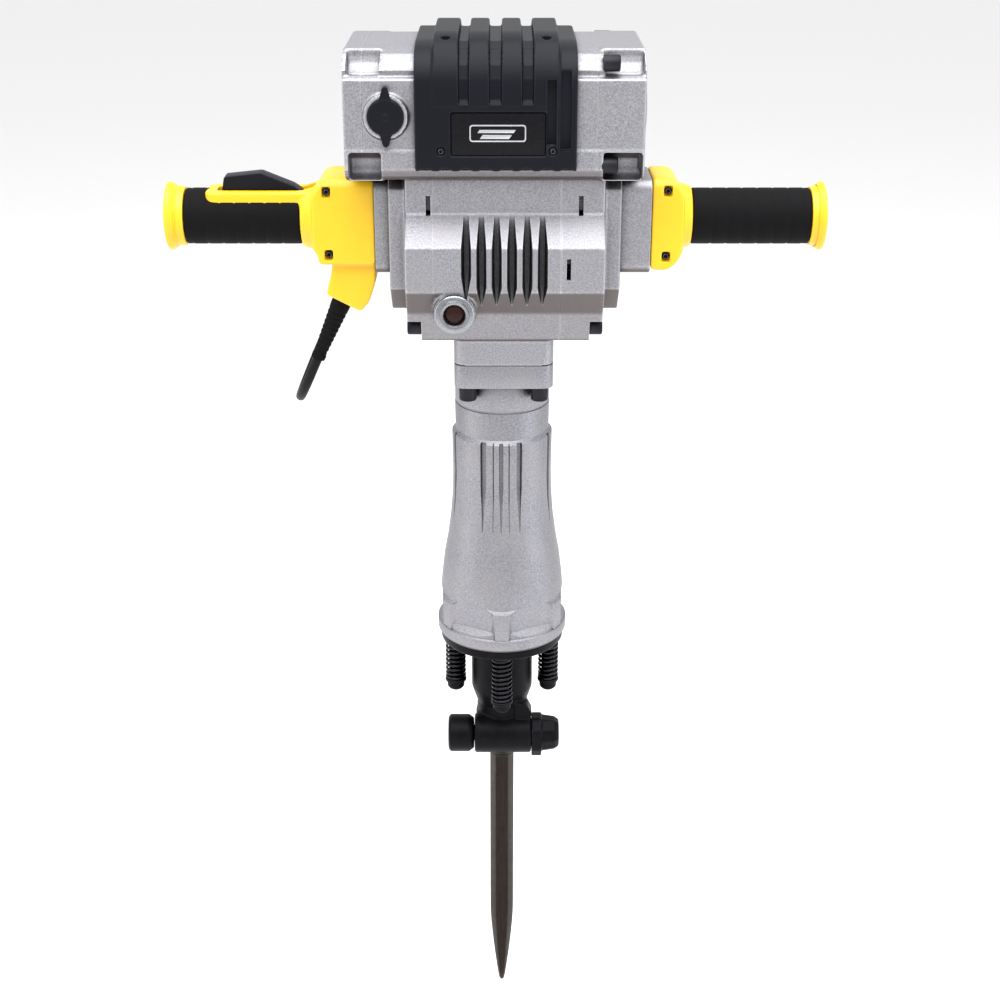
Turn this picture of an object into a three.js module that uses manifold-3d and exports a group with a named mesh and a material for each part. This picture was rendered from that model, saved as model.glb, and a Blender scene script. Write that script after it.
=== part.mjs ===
// Electric jackhammer, upright on its chisel. Millimetres.
// The origin is the chisel's point, +Z runs up the tool axis and -Y is the front.
import * as THREE from "three";
import { mergeVertices } from "three/addons/utils/BufferGeometryUtils.js";
import Module from "manifold-3d";

const wasm = await Module();
wasm.setup();

// ---------------------------------------------------------------- driving dimensions
const GAP = 0.3; // air between two fixed pieces that touch
const OVER = 1; // how far a cutting tool runs past the face it cuts

const HEAD = { left: -141, right: 127, bottom: 946, top: 1060, half: 85, wall: 6 };
const HEAD_SEAM = { left: -124, right: 84 }; // where the end covers meet the motor housing
const MOTOR = { z: 1006, core: 30, stator: 46, shaft: 7 };
const BRUSH = { x: -103, z: 1005, cap: 16.5, rim: 20 };
const COVER = { left: -77.5, right: 66, bottom: 957.5, top: 1066, half: 92, ribRise: 7 };
const COVER_RIBS = [[-61, -39], [-29, -12], [0, 17], [28, 50]];
const VENTS = [[39.5, 47.5, 980, 1038], [51.5, 60.5, 976, 1045]]; // x from, x to, z from, z to
const BADGE = { left: -46, right: 39, bottom: 971, top: 1010 };

const CASE = { left: -89, right: 94, bottom: 790, wall: 5 }; // crankcase
const CASE_SEAMS = [-64, 54];
const FINS = { count: 6, width: 8, pitch: 14, centre: 2, top: 914 };
const GAUGE = { x: -44, z: 825, y: -87.5, ring: 18.5, glass: 9 };
const NECK = { left: -46, right: 49, half: 56, seam: 764, bottom: 741 };
const SIDE = { thick: 16, top: 945, bottom: 813, half: 55 }; // plates on the crankcase's flanks

const CRANK = { z: 868.5, throw: 16, journal: 14, web: 30, pin: 8 };
const ROD = { length: 88, eye: 16, foot: 9, width: 7.5 };
const FIRST_STAGE = { module: 2, pinion: 14, wheel: 38, from: 73, to: 83 };
const SECOND_STAGE = { module: 3, pinion: 14, wheel: 43, from: 51, to: 65 };
const IDLER_Z = MOTOR.z - (FIRST_STAGE.module * (FIRST_STAGE.pinion + FIRST_STAGE.wheel)) / 2;
const PRESSURE = THREE.MathUtils.degToRad(25);
const BACKLASH = 0.4;

const BORE = 30; // radius of the hammer cylinder
const CYLINDER = { outer: 38, top: 789, bottom: 560 };
const PISTON = { bottom: 714.5, floor: 722, top: 800, radius: 29.6, cup: 27 };
const STRIKER = { bottom: 602.5, top: 690 };
const SLEEVE = { bottom: 460.6, bore: 50, rim: 68 }; // hammer case
const HOLDER = { flangeTop: 460.3, flangeBottom: 450, drum: 32, throat: 27, bottom: 316 };
const STOPPER = { y: -20, z: 340, shaft: 8, knob: 20, barrel: 21, left: -29, right: 31 };
const SPRING = { ring: 49, radius: 11, wire: 1.6, top: 449.7, bottom: 397.8, turns: 5 };

const CHISEL = { flats: 30, body: 22.6, collar: 17, shoulder: 313, top: 410, taper: 102, tip: 2.6 };
const CHISEL_TRAVEL = 14;

const GRIP = {
  z: 896, radius: 26.5, core: 20, leftIn: -190, leftOut: -303, rightIn: 179, rightOut: 295,
};
const FLANGE = { radius: 32.5, leftEnd: -322, rightEnd: 308 };
const TRIGGER = { pivotX: -192, pivotZ: 918, outer: -267, half: 9 };
const HANDLE_HALF = 36; // half the depth of both handle housings and their brackets
const CORD = { radius: 4.75, bend: 42 };
const STRAIN = { x: -156, z: 811, length: 63, lean: 24 }; // lean in degrees, outwards from straight down
const PLUG = { x: 78, y: 107, top: 850 };
const COIL = { x: -8, z: 868, yFrom: 92.5, layer: 9.5, inner: 37.5 };
const COIL_OUTER = COIL.inner + 3 * COIL.layer;
const COIL_BACK = COIL.yFrom + 3 * COIL.layer;

const FINISH = {
  castAluminium: { color: "#b9babf", roughness: 0.5, metalness: 0.85 },
  yellowPlastic: { color: "#f8cf2c", roughness: 0.4, metalness: 0 },
  blackPlastic: { color: "#1d2027", roughness: 0.55, metalness: 0 },
  blackRubber: { color: "#161616", roughness: 0.8, metalness: 0 },
  blackSteel: { color: "#1b1a1b", roughness: 0.45, metalness: 0.7 },
  toolSteel: { color: "#2c2522", roughness: 0.5, metalness: 0.8 },
  machinedSteel: { color: "#9a9ca0", roughness: 0.3, metalness: 1 },
  copper: { color: "#a65f38", roughness: 0.4, metalness: 0.9 },
  carbon: { color: "#26262a", roughness: 0.7, metalness: 0.1 },
  sightGlass: { color: "#5a2418", roughness: 0.2, metalness: 0 },
  badge: { color: "#15161a", roughness: 0.35, metalness: 0.2 },
};

// ---------------------------------------------------------------- solids
// Turns a closed three.js geometry into a manifold-3d solid.
function solid(geometry) {
  const loose = geometry.index ? geometry.toNonIndexed() : geometry;
  const bare = new THREE.BufferGeometry();
  bare.setAttribute("position", loose.getAttribute("position"));
  const merged = mergeVertices(bare, 1e-3);
  const corners = [];
  for (let i = 0; i < merged.index.count; i += 3) {
    const [a, b, c] = merged.index.array.slice(i, i + 3);
    if (a !== b && b !== c && c !== a) corners.push(a, b, c);
  }
  return new wasm.Manifold(
    new wasm.Mesh({
      numProp: 3,
      vertProperties: new Float32Array(merged.attributes.position.array),
      triVerts: new Uint32Array(corners),
    }),
  );
}

const sorted = (a, b) => (a < b ? [a, b] : [b, a]);
const join = (...solids) => solids.reduce((whole, next) => whole.add(next));
const cut = (body, ...tools) => tools.reduce((whole, next) => whole.subtract(next), body);

// Local (x, y, z) to row axes: an outline's two coordinates, then the direction it is swept in.
const SWEEPS = {
  x: new THREE.Matrix4().set(0, 0, 1, 0, 1, 0, 0, 0, 0, 1, 0, 0, 0, 0, 0, 1),
  y: new THREE.Matrix4().set(1, 0, 0, 0, 0, 0, -1, 0, 0, 1, 0, 0, 0, 0, 0, 1),
  z: new THREE.Matrix4(),
};

// A prism along an axis. The outline is in (y, z) for x, (x, z) for y and (x, y) for z.
function prism(axis, outline, from, to) {
  const shape = outline instanceof THREE.Shape
    ? outline
    : new THREE.Shape(outline.map(([u, v]) => new THREE.Vector2(u, v)));
  const geometry = new THREE.ExtrudeGeometry(shape, {
    depth: to - from,
    bevelEnabled: false,
    curveSegments: 6,
  });
  geometry.translate(0, 0, axis === "y" ? -to : from);
  return solid(geometry.applyMatrix4(SWEEPS[axis]));
}

function box(x0, x1, y0, y1, z0, z1) {
  const geometry = new THREE.BoxGeometry(x1 - x0, y1 - y0, z1 - z0);
  return solid(geometry.translate((x0 + x1) / 2, (y0 + y1) / 2, (z0 + z1) / 2));
}

// A turned body about an axis. The profile is [radius, along], and ends on the axis or closes.
function turned(axis, profile, centre = [0, 0], segments = 24) {
  const points = profile.map(([r, along]) => new THREE.Vector2(r, along));
  if (THREE.ShapeUtils.area(points) < 0) points.reverse();
  const geometry = new THREE.LatheGeometry(points, segments);
  if (axis === "z") geometry.rotateX(Math.PI / 2).translate(centre[0], centre[1], 0);
  if (axis === "x") geometry.rotateZ(-Math.PI / 2).translate(0, centre[0], centre[1]);
  if (axis === "y") geometry.translate(centre[0], 0, centre[1]);
  return solid(geometry);
}

const rod = (axis, radius, from, to, centre, segments = 20) =>
  turned(axis, [[0, from], [radius, from], [radius, to], [0, to]], centre, segments);

const ring = (axis, inner, outer, from, to, centre, segments = 24) =>
  turned(
    axis,
    [[inner, from], [outer, from], [outer, to], [inner, to], [inner, from]],
    centre,
    segments,
  );

// The whole outline of a section from its front half, which runs from the top down.
const mirrored = (half) => [...half, ...half.map(([y, z]) => [-y, z]).reverse()];

function roundedRectangle(u0, u1, v0, v1, r) {
  const shape = new THREE.Shape();
  shape.absarc(u1 - r, v0 + r, r, -Math.PI / 2, 0, false);
  shape.absarc(u1 - r, v1 - r, r, 0, Math.PI / 2, false);
  shape.absarc(u0 + r, v1 - r, r, Math.PI / 2, Math.PI, false);
  shape.absarc(u0 + r, v0 + r, r, Math.PI, 1.5 * Math.PI, false);
  return shape;
}

function hexagon(flats) {
  const corner = flats / Math.sqrt(3);
  return Array.from({ length: 6 }, (_, i) => [
    corner * Math.cos((i * Math.PI) / 3),
    corner * Math.sin((i * Math.PI) / 3),
  ]);
}

// An involute spur gear on an axis along X. turn is the angle of one tooth's centre from +Y.
function gear(module, teeth, from, to, z, turn) {
  const pitch = (module * teeth) / 2;
  const base = pitch * Math.cos(PRESSURE);
  const radii = [Math.max(base, pitch - module), pitch + module];
  const involute = (r) => {
    const roll = Math.sqrt(Math.max((r / base) ** 2 - 1, 0));
    return roll - Math.atan(roll);
  };
  const halfTooth = (Math.PI * module) / 2 / pitch / 2 - BACKLASH / 2 / pitch;
  const flank = radii.map((r) => [r, halfTooth + involute(pitch) - involute(r)]);
  const root = [pitch - 1.25 * module, flank[0][1] + 0.1 / teeth];
  const side = [root, ...flank];
  const outline = [];
  for (let tooth = 0; tooth < teeth; tooth++) {
    const middle = turn + (tooth * 2 * Math.PI) / teeth;
    const spots = [
      ...side.map(([r, half]) => [r, middle - half]),
      ...side.map(([r, half]) => [r, middle + half]).reverse(),
    ];
    for (const [r, a] of spots) outline.push([r * Math.cos(a), z + r * Math.sin(a)]);
  }
  return prism("x", outline, from, to);
}

// A round tube of constant radius through a list of points.
function tube(points, radius, sides, steps) {
  const section = new THREE.Shape();
  for (let i = 0; i < sides; i++) {
    const angle = (i * 2 * Math.PI) / sides;
    const spot = [radius * Math.cos(angle), radius * Math.sin(angle)];
    if (i === 0) section.moveTo(...spot);
    else section.lineTo(...spot);
  }
  const path = new THREE.CatmullRomCurve3(points.map((p) => new THREE.Vector3(...p)));
  return solid(
    new THREE.ExtrudeGeometry(section, { steps, extrudePath: path, bevelEnabled: false }),
  );
}

const jackhammer = new THREE.Group();

function add(name, body, finish) {
  const { vertProperties, triVerts } = body.getMesh();
  const geometry = new THREE.BufferGeometry();
  geometry.setAttribute("position", new THREE.BufferAttribute(vertProperties, 3));
  geometry.setIndex(new THREE.BufferAttribute(triVerts, 1));
  geometry.computeVertexNormals();
  const mesh = new THREE.Mesh(geometry, new THREE.MeshStandardMaterial(FINISH[finish]));
  mesh.name = name;
  jackhammer.add(mesh);
}

// ---------------------------------------------------------------- motor head
const headSection = mirrored([
  [-50, HEAD.top], [-66, 1056.5], [-77, 1050], [-81, 1044], [-79, 1039],
  [-HEAD.half, 1037], [-HEAD.half, 976], [-86.5, 974], [-86.5, 958], [-82, 950],
  [-72, HEAD.bottom],
]);
const headCavity = mirrored([
  [-46, HEAD.top - HEAD.wall], [-72, 1044], [-HEAD.half + HEAD.wall, 1034],
  [-HEAD.half + HEAD.wall, 964], [-70, HEAD.bottom + HEAD.wall],
]);

// The four corner pockets that leave room for the end covers' bolts.
const TOP_POCKET = [[-92, 1062], [-92, 1039.5], [-70, 1039.5], [-58, 1049], [-58, 1062]];
const BOTTOM_POCKET = [[-92, 973], [-92, 940], [-70, 940], [-66, 951], [-76, 973]];
function headPockets(from, to) {
  const top = prism("x", TOP_POCKET, from, to);
  const bottom = prism("x", BOTTOM_POCKET, from, to);
  return join(top, bottom, top.mirror([0, 1, 0]), bottom.mirror([0, 1, 0]));
}

function motorHousing() {
  const { left, right } = HEAD_SEAM;
  const shell = cut(
    prism("x", headSection, left, right),
    prism("x", headCavity, left - OVER, right + OVER),
  );
  const rims = [-1, 1].map((side) =>
    rod("y", BRUSH.rim, ...sorted(side * (HEAD.half - 2), side * 88), [BRUSH.x, BRUSH.z], 32),
  );
  const brushHoles = rod("y", 12, -100, 100, [BRUSH.x, BRUSH.z]);
  const gearWindow = box(44, right + OVER, -45, 45, HEAD.bottom - OVER, HEAD.bottom + 12);
  const vents = VENTS.map(([x0, x1, z0, z1]) => box(x0 - 1, x1 + 1, -100, 100, z0, z1));
  return cut(join(shell, ...rims), brushHoles, gearWindow, ...vents, headPockets(left - OVER, -108));
}

// An end cover: the head's section closed at its outer end, with a boss around a bearing.
function endCover(from, to, outerSide, bossFrom, bossTo) {
  const [cavityFrom, cavityTo] = outerSide < 0
    ? [from + HEAD.wall - 2, to + OVER]
    : [from - OVER, to - HEAD.wall + 2];
  const shell = cut(
    prism("x", headSection, from, to),
    prism("x", headCavity, cavityFrom, cavityTo),
  );
  const boss = ring("x", 16.3, 24, bossFrom, bossTo, [0, MOTOR.z]);
  return join(shell, boss);
}

add("motor_housing", motorHousing(), "castAluminium");
add(
  "left_end_cover",
  cut(
    endCover(HEAD.left, HEAD_SEAM.left - GAP, -1, HEAD.left + 3, -125),
    headPockets(HEAD.left + 4, HEAD_SEAM.left + OVER),
  ),
  "castAluminium",
);
add(
  "right_end_cover",
  join(
    cut(
      endCover(HEAD_SEAM.right + GAP, HEAD.right, 1, 91, HEAD.right - 3),
      headPockets(90, HEAD.right - 2),
    ),
    rod("x", 24, HEAD.right - OVER, HEAD.right + 6, [0, 998], 32),
  ),
  "castAluminium",
);

// ---------------------------------------------------------------- motor cover and badge
function motorCover() {
  const { left, right, bottom, half, top, ribRise } = COVER;
  const inside = mirrored([
    [-50, HEAD.top + 0.4], [-67, 1057.2], [-78.5, 1050.6], [-87, 1040], [-87, bottom - OVER],
  ]);
  const saddle = (rise) => mirrored([
    [-50, top + rise], [-70, 1062 + 0.9 * rise], [-86, 1051 + 0.5 * rise],
    [-half - 0.2 * rise, 1038], [-half - 0.2 * rise, bottom],
  ]);
  const hollow = prism("x", inside, left - OVER, right + OVER);
  const base = prism("x", saddle(0), left, right);
  const aboveBadge = box(left - OVER, right + OVER, -110, 110, 1016, 1090);
  const ribs = COVER_RIBS.map(([x0, x1]) =>
    prism("x", saddle(ribRise), x0, x1).intersect(aboveBadge),
  );
  const grooves = [-1, 1].flatMap((side) =>
    COVER_RIBS.slice(1).map(([x0], i) =>
      box(COVER_RIBS[i][1], x0, ...sorted(side * 89.5, side * 100), 1020, 1036),
    ),
  );
  const recess = box(
    BADGE.left, BADGE.right, -100, -half + 1.6, BADGE.bottom, BADGE.top,
  );
  const vents = VENTS.map(([x0, x1, z0, z1]) => box(x0, x1, -110, 110, z0, z1));
  return cut(join(base, ...ribs), hollow, ...grooves, recess, ...vents);
}

add("motor_cover", motorCover(), "blackPlastic");
add(
  "badge_plate",
  prism(
    "y",
    roundedRectangle(BADGE.left + 1.5, BADGE.right - 1.5, BADGE.bottom + 1.5, BADGE.top - 1.5, 3),
    -COVER.half + 0.1,
    -COVER.half + 1.3,
  ),
  "badge",
);

// ---------------------------------------------------------------- motor
// A brush cap with two finger ears, its stem in the housing's hole; side is -1 front, 1 rear.
function brushCap(side) {
  const face = side * 88.3;
  const disc = rod("y", BRUSH.cap, ...sorted(face, side * 92), [BRUSH.x, BRUSH.z], 32);
  const ears = prism(
    "y",
    [[0, 28], [5, 16], [5, -14], [0, -28], [-5, -14], [-5, 16]].map(([x, z]) => [
      BRUSH.x + x,
      BRUSH.z + z,
    ]),
    ...sorted(face, side * 91),
  );
  const stem = rod("y", 11.5, ...sorted(side * 62, face), [BRUSH.x, BRUSH.z]);
  return join(disc, ears, stem);
}

for (const [place, side] of [["front", -1], ["rear", 1]]) {
  add("brush_cap_" + place, brushCap(side), "blackPlastic");
  add(
    "carbon_brush_" + place,
    box(BRUSH.x - 4, BRUSH.x + 4, ...sorted(side * 16.4, side * 61.5), BRUSH.z - 6, BRUSH.z + 6),
    "carbon",
  );
}

add("field_coil", ring("x", 32, MOTOR.stator, -70, 30, [0, MOTOR.z], 36), "copper");

function armature() {
  const { z, core, shaft } = MOTOR;
  return join(
    rod("x", shaft, -136, 103, [0, z]),
    rod("x", core, -66, 26, [0, z], 24),
    rod("x", 16, -113, -93, [0, z]),
    gear(FIRST_STAGE.module, FIRST_STAGE.pinion, FIRST_STAGE.from - 1, FIRST_STAGE.to + 1, z,
      -Math.PI / 2),
  );
}
add("armature", armature(), "copper");

function coolingFan() {
  const from = 38;
  const to = 47;
  const blades = Array.from({ length: 9 }, (_, i) =>
    box(from, to - 2, 14, 40, -1.2, 1.2)
      .rotate([(i * 360) / 9, 0, 0])
      .translate([0, 0, MOTOR.z]),
  );
  const hub = join(rod("x", 15, from, to, [0, MOTOR.z]), rod("x", 41, to - 2.5, to, [0, MOTOR.z]));
  return cut(join(hub, ...blades), rod("x", MOTOR.shaft + GAP, 0, 60, [0, MOTOR.z]));
}
add("cooling_fan", coolingFan(), "blackPlastic");
add("armature_bearing_left", ring("x", 7.3, 16, -136, -126, [0, MOTOR.z]), "machinedSteel");
add("armature_bearing_right", ring("x", 7.3, 16, 92, 103, [0, MOTOR.z]), "machinedSteel");

// ---------------------------------------------------------------- crankcase
const caseSection = mirrored([
  [-62, HEAD.bottom - GAP], [-62, 913], [-88, 886], [-88, 845], [-70, 820], [-58, CASE.bottom],
]);
const caseCavity = mirrored([
  [-57, HEAD.bottom + OVER], [-57, 911], [-83, 884], [-83, 847], [-66, 823],
  [-54, CASE.bottom + CASE.wall],
]);

function crankcaseMiddle() {
  const [from, to] = CASE_SEAMS;
  const neck = prism(
    "z",
    roundedRectangle(NECK.left, NECK.right, -NECK.half, NECK.half, 12),
    NECK.seam,
    CASE.bottom + 12,
  );
  const finStart = FINS.centre - ((FINS.count - 1) * FINS.pitch) / 2;
  const fins = [-1, 1].flatMap((side) =>
    Array.from({ length: FINS.count }, (_, i) => {
      const x = finStart + i * FINS.pitch;
      return box(
        x - FINS.width / 2, x + FINS.width / 2, ...sorted(side * 66, side * 100), 828, FINS.top,
      );
    }),
  );
  const pads = [-1, 1].map((side) =>
    box(finStart - 8, -finStart + 12, ...sorted(side * 59, side * 65.9), 822, 912),
  );
  const outside = join(prism("x", caseSection, from, to), neck);
  const inside = join(
    cut(prism("x", caseCavity, from - OVER, to + OVER), ...pads),
    rod("z", CYLINDER.outer + GAP, NECK.seam - OVER, CASE.bottom + 20, [0, 0], 28),
  );
  const boss = rod("y", GAUGE.ring + 1, GAUGE.y, -70, [GAUGE.x, GAUGE.z]);
  const gaugeHole = rod("y", 10, -95, -60, [GAUGE.x, GAUGE.z]);
  return cut(join(cut(outside, inside, ...fins), boss), gaugeHole);
}
add("crankcase", crankcaseMiddle(), "castAluminium");

// A flank of the crankcase: open towards the middle, with a seat for the crank's bearing.
function crankcaseFlank(from, to, outerSide, seatFrom, seatTo) {
  const [cavityFrom, cavityTo] = outerSide < 0
    ? [from + CASE.wall, to + OVER]
    : [from - OVER, to - CASE.wall];
  const shell = cut(
    prism("x", caseSection, from, to),
    prism("x", caseCavity, cavityFrom, cavityTo),
  );
  return join(shell, ring("x", 26.3, 33, seatFrom, seatTo, [0, CRANK.z]));
}

// The pad on a flank that carries a handle's bracket.
function sidePad(from, to) {
  const { half, top, bottom } = SIDE;
  const outline = mirrored([
    [-half + 12, top], [-half, top - 12], [-half, bottom + 26], [-half + 26, bottom],
  ]);
  return prism("x", outline, from, to);
}
add(
  "crankcase_left_cover",
  join(
    crankcaseFlank(CASE.left, CASE_SEAMS[0] - GAP, -1, CASE.left + 4, -66),
    sidePad(CASE.left - SIDE.thick, CASE.left + OVER),
  ),
  "castAluminium",
);
add(
  "gear_cover",
  join(
    crankcaseFlank(CASE_SEAMS[1] + GAP, CASE.right, 1, 72, CASE.right - 4),
    sidePad(CASE.right - OVER, CASE.right + SIDE.thick),
  ),
  "castAluminium",
);

const gaugeAt = [GAUGE.x, GAUGE.z];
add(
  "oil_gauge_ring",
  turned(
    "y",
    [[9.2, GAUGE.y + 9], [9.2, GAUGE.y - 6], [12, GAUGE.y - 7], [GAUGE.ring, GAUGE.y - 3.5],
      [GAUGE.ring, GAUGE.y - GAP], [9.8, GAUGE.y - GAP], [9.8, GAUGE.y + 9], [9.2, GAUGE.y + 9]],
    gaugeAt,
  ),
  "machinedSteel",
);
add("oil_gauge_glass", rod("y", GAUGE.glass, GAUGE.y - 4, GAUGE.y + 16, gaugeAt), "sightGlass");

// ---------------------------------------------------------------- gear train and crank
function idlerGear() {
  const { module: fine, wheel, from, to } = FIRST_STAGE;
  const { module: coarse, pinion, from: from2, to: to2 } = SECOND_STAGE;
  return join(
    gear(fine, wheel, from, to, IDLER_Z, Math.PI / 2 + Math.PI / wheel),
    gear(coarse, pinion, from2 - 1, to2 + 1, IDLER_Z, -Math.PI / 2),
    rod("x", 8, from2 - 5, to + 1, [0, IDLER_Z]),
  );
}
add("idler_gear", idlerGear(), "machinedSteel");

function crankGear() {
  const { module, wheel, from, to } = SECOND_STAGE;
  return cut(
    gear(module, wheel, from, to, CRANK.z, Math.PI / 2 + Math.PI / wheel),
    rod("x", CRANK.journal + GAP, from - OVER, to + OVER, [0, CRANK.z]),
  );
}
add("crank_gear", crankGear(), "machinedSteel");

function crankshaft() {
  const { z, journal, web, pin } = CRANK;
  return join(
    rod("x", journal, -84, -14, [0, z]),
    rod("x", journal, 14, 86, [0, z]),
    rod("x", web, -14, -8, [0, z], 24),
    rod("x", web, 8, 14, [0, z], 24),
    rod("x", pin, -9, 9, [0, z - CRANK.throw]),
  );
}
add("crankshaft", crankshaft(), "machinedSteel");
add("crank_bearing_left", ring("x", 14.3, 26, -84, -68, [0, CRANK.z]), "machinedSteel");
add("crank_bearing_right", ring("x", 14.3, 26, 72, 86, [0, CRANK.z]), "machinedSteel");

// ---------------------------------------------------------------- hammer mechanism
function connectingRod() {
  const eyeZ = CRANK.z - CRANK.throw;
  const footZ = eyeZ - ROD.length;
  return cut(
    join(
      rod("x", ROD.eye, -ROD.width, ROD.width, [0, eyeZ]),
      rod("x", ROD.foot, -ROD.width, ROD.width, [0, footZ]),
      box(-5, 5, -7, 7, footZ, eyeZ - CRANK.pin - 2),
    ),
    rod("x", CRANK.pin + GAP, -10, 10, [0, eyeZ]),
  );
}
add("connecting_rod", connectingRod(), "machinedSteel");

// The piston is a deep cup. Two stubs in its wall hold the rod's foot between them.
function piston() {
  const { bottom, floor, top, radius, cup } = PISTON;
  const pinZ = CRANK.z - CRANK.throw - ROD.length;
  const wall = turned("z", [
    [0, bottom], [radius, bottom], [radius, top], [cup, top], [cup, floor], [0, floor],
  ], [0, 0], 28);
  return join(wall, rod("x", 6, -cup - 1, -9, [0, pinZ], 16), rod("x", 6, 9, cup + 1, [0, pinZ], 16));
}
add("piston", piston(), "machinedSteel");
add(
  "cylinder",
  ring("z", BORE, CYLINDER.outer, CYLINDER.bottom, CYLINDER.top, [0, 0], 28),
  "machinedSteel",
);
add(
  "striker",
  turned("z", [
    [0, STRIKER.bottom], [18, STRIKER.bottom], [PISTON.radius, 616],
    [PISTON.radius, STRIKER.top], [0, STRIKER.top],
  ], [0, 0], 28),
  "machinedSteel",
);
add(
  "impact_bolt",
  turned("z", [
    [0, CHISEL.top + GAP], [14.8, CHISEL.top + GAP], [14.8, 456], [24, 462], [24, 516],
    [19, 521], [19, STRIKER.bottom - CHISEL_TRAVEL - 0.8], [0, STRIKER.bottom - CHISEL_TRAVEL - 0.8],
  ], [0, 0], 32),
  "machinedSteel",
);
add("damper_ring", ring("z", 21, 44, 536, 552, [0, 0], 32), "blackRubber");

const springSpots = [0, 1, 2, 3].map((i) => [
  SPRING.ring * Math.cos((i * Math.PI) / 2),
  SPRING.ring * Math.sin((i * Math.PI) / 2),
]);

// The hammer case: a square flange, a fluted sleeve and a wide mouth with six ribs.
function hammerCase() {
  const sleeve = [
    [47.1, 752], [47.1, 690], [49, 681], [49.3, 625], [51.8, 590], [59, 545], [64, 508],
    [65, 480], [SLEEVE.rim, 473], [SLEEVE.rim, SLEEVE.bottom],
  ];
  const bore = [
    [SLEEVE.bore, SLEEVE.bottom], [SLEEVE.bore, 530], [44.5, 536], [44.5, 556],
    [CYLINDER.outer + GAP, 559], [CYLINDER.outer + GAP, 752],
  ];
  const outside = turned("z", [...bore, ...sleeve, bore[0]], [0, 0], 28);
  const flange = cut(
    prism(
      "z",
      roundedRectangle(NECK.left, NECK.right, -NECK.half, NECK.half, 12),
      NECK.bottom,
      NECK.seam - GAP,
    ),
    rod("z", CYLINDER.outer + GAP, NECK.bottom - OVER, NECK.seam + OVER, [0, 0], 28),
  );
  const flutes = [0, 90, 180, 270].flatMap((turn) =>
    [-18, -6, 6, 18].map((x) =>
      box(x - 2.2, x + 2.2, -60, -45.4, 590, 678).rotate([0, 0, turn]),
    ),
  );
  const ribs = Array.from({ length: 6 }, (_, i) =>
    prism("x", [[-60, 480], [-67, 480], [-67, 505], [-60, 512]], -4, 4).rotate([0, 0, i * 60]),
  );
  const boltHoles = springSpots.map((spot) => rod("z", 6, 459, 472, spot, 12));
  return cut(join(outside, flange, ...ribs), ...flutes, ...boltHoles);
}
add("hammer_case", hammerCase(), "castAluminium");

// ---------------------------------------------------------------- front cover, springs and stopper
function frontCover() {
  const { flangeTop, flangeBottom, drum, throat, bottom } = HOLDER;
  const body = turned("z", [
    [0, bottom], [25, bottom], [27.5, bottom + 3], [27.5, 358], [throat, 366], [throat, 372],
    [drum, 388], [drum, flangeBottom], [63.5, flangeBottom], [63.5, flangeTop], [49.4, flangeTop],
    [49.4, 500], [0, 500],
  ], [0, 0], 28);
  const barrel = rod("x", STOPPER.barrel, STOPPER.left, STOPPER.right, [STOPPER.y, STOPPER.z], 24);
  return cut(
    join(body, barrel),
    prism("z", hexagon(CHISEL.flats + 0.8), bottom - OVER, CHISEL.top + CHISEL_TRAVEL + 6),
    rod("z", CHISEL.collar + 0.8, bottom - OVER, CHISEL.shoulder + CHISEL_TRAVEL + 1, [0, 0], 28),
    rod("z", 15.6, 380, 470, [0, 0]),
    rod("z", 25, 448, 501, [0, 0], 28),
    rod("x", STOPPER.shaft + 0.4, -60, 60, [STOPPER.y, STOPPER.z]),
    ...springSpots.map((spot) => rod("z", 6.4, flangeBottom - OVER, 501, spot, 10)),
  );
}
add("front_cover", frontCover(), "blackSteel");

springSpots.forEach((spot, i) => {
  const bolt = turned("z", [
    [0, 381], [7, 381], [9.7, 383], [9.7, 397.5], [5.6, 397.5], [5.6, 470], [0, 470],
  ], spot, 12);
  add("spring_bolt_" + (i + 1), bolt, "blackSteel");
});

function cushionSpring([x, y]) {
  const { radius, wire, top, bottom, turns } = SPRING;
  const [low, high] = [bottom + wire, top - wire];
  const steps = turns * 9;
  const points = Array.from({ length: steps + 1 }, (_, i) => {
    const angle = (i / 9) * 2 * Math.PI;
    const reach = radius - wire;
    return [x + reach * Math.cos(angle), y + reach * Math.sin(angle), low + ((high - low) * i) / steps];
  });
  return tube(points, wire, 4, steps);
}
springSpots.forEach((spot, i) => add("cushion_spring_" + (i + 1), cushionSpring(spot), "machinedSteel"));

// The stopper's shaft and its round head. A flat on the shaft lets the chisel out at half a turn.
const stopperAt = [STOPPER.y, STOPPER.z];
function stopperShaft() {
  const { left, right, knob, shaft, y, z } = STOPPER;
  const whole = turned("x", [
    [0, left - 28], [knob - 4, left - 28], [knob, left - 24], [knob, left - 4],
    [knob - 3, left - GAP], [shaft, left - GAP], [shaft, right + 24], [0, right + 24],
  ], stopperAt, 24);
  return cut(whole, box(-24, 24, y - 20, y - 4.6, z - 12, z + 12));
}
add("stopper_shaft", stopperShaft(), "blackSteel");

function stopperLever() {
  const { right, shaft, y, z } = STOPPER;
  const hub = turned("x", [
    [shaft + GAP, right + GAP], [14, right + GAP], [14, right + 7], [19, right + 9],
    [17, right + 28], [14, right + 30], [0, right + 30], [0, right + 24 + GAP],
    [shaft + GAP, right + 24 + GAP], [shaft + GAP, right + GAP],
  ], stopperAt, 24);
  const arm = prism("x", [[y + 8, z - 13], [y + 34, z - 19], [y + 38, z - 8], [y + 8, z + 11]],
    right + 12, right + 24);
  return cut(join(hub, arm), rod("x", shaft + GAP, right, right + 24 + GAP, stopperAt));
}
add("stopper_lever", stopperLever(), "blackSteel");

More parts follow.
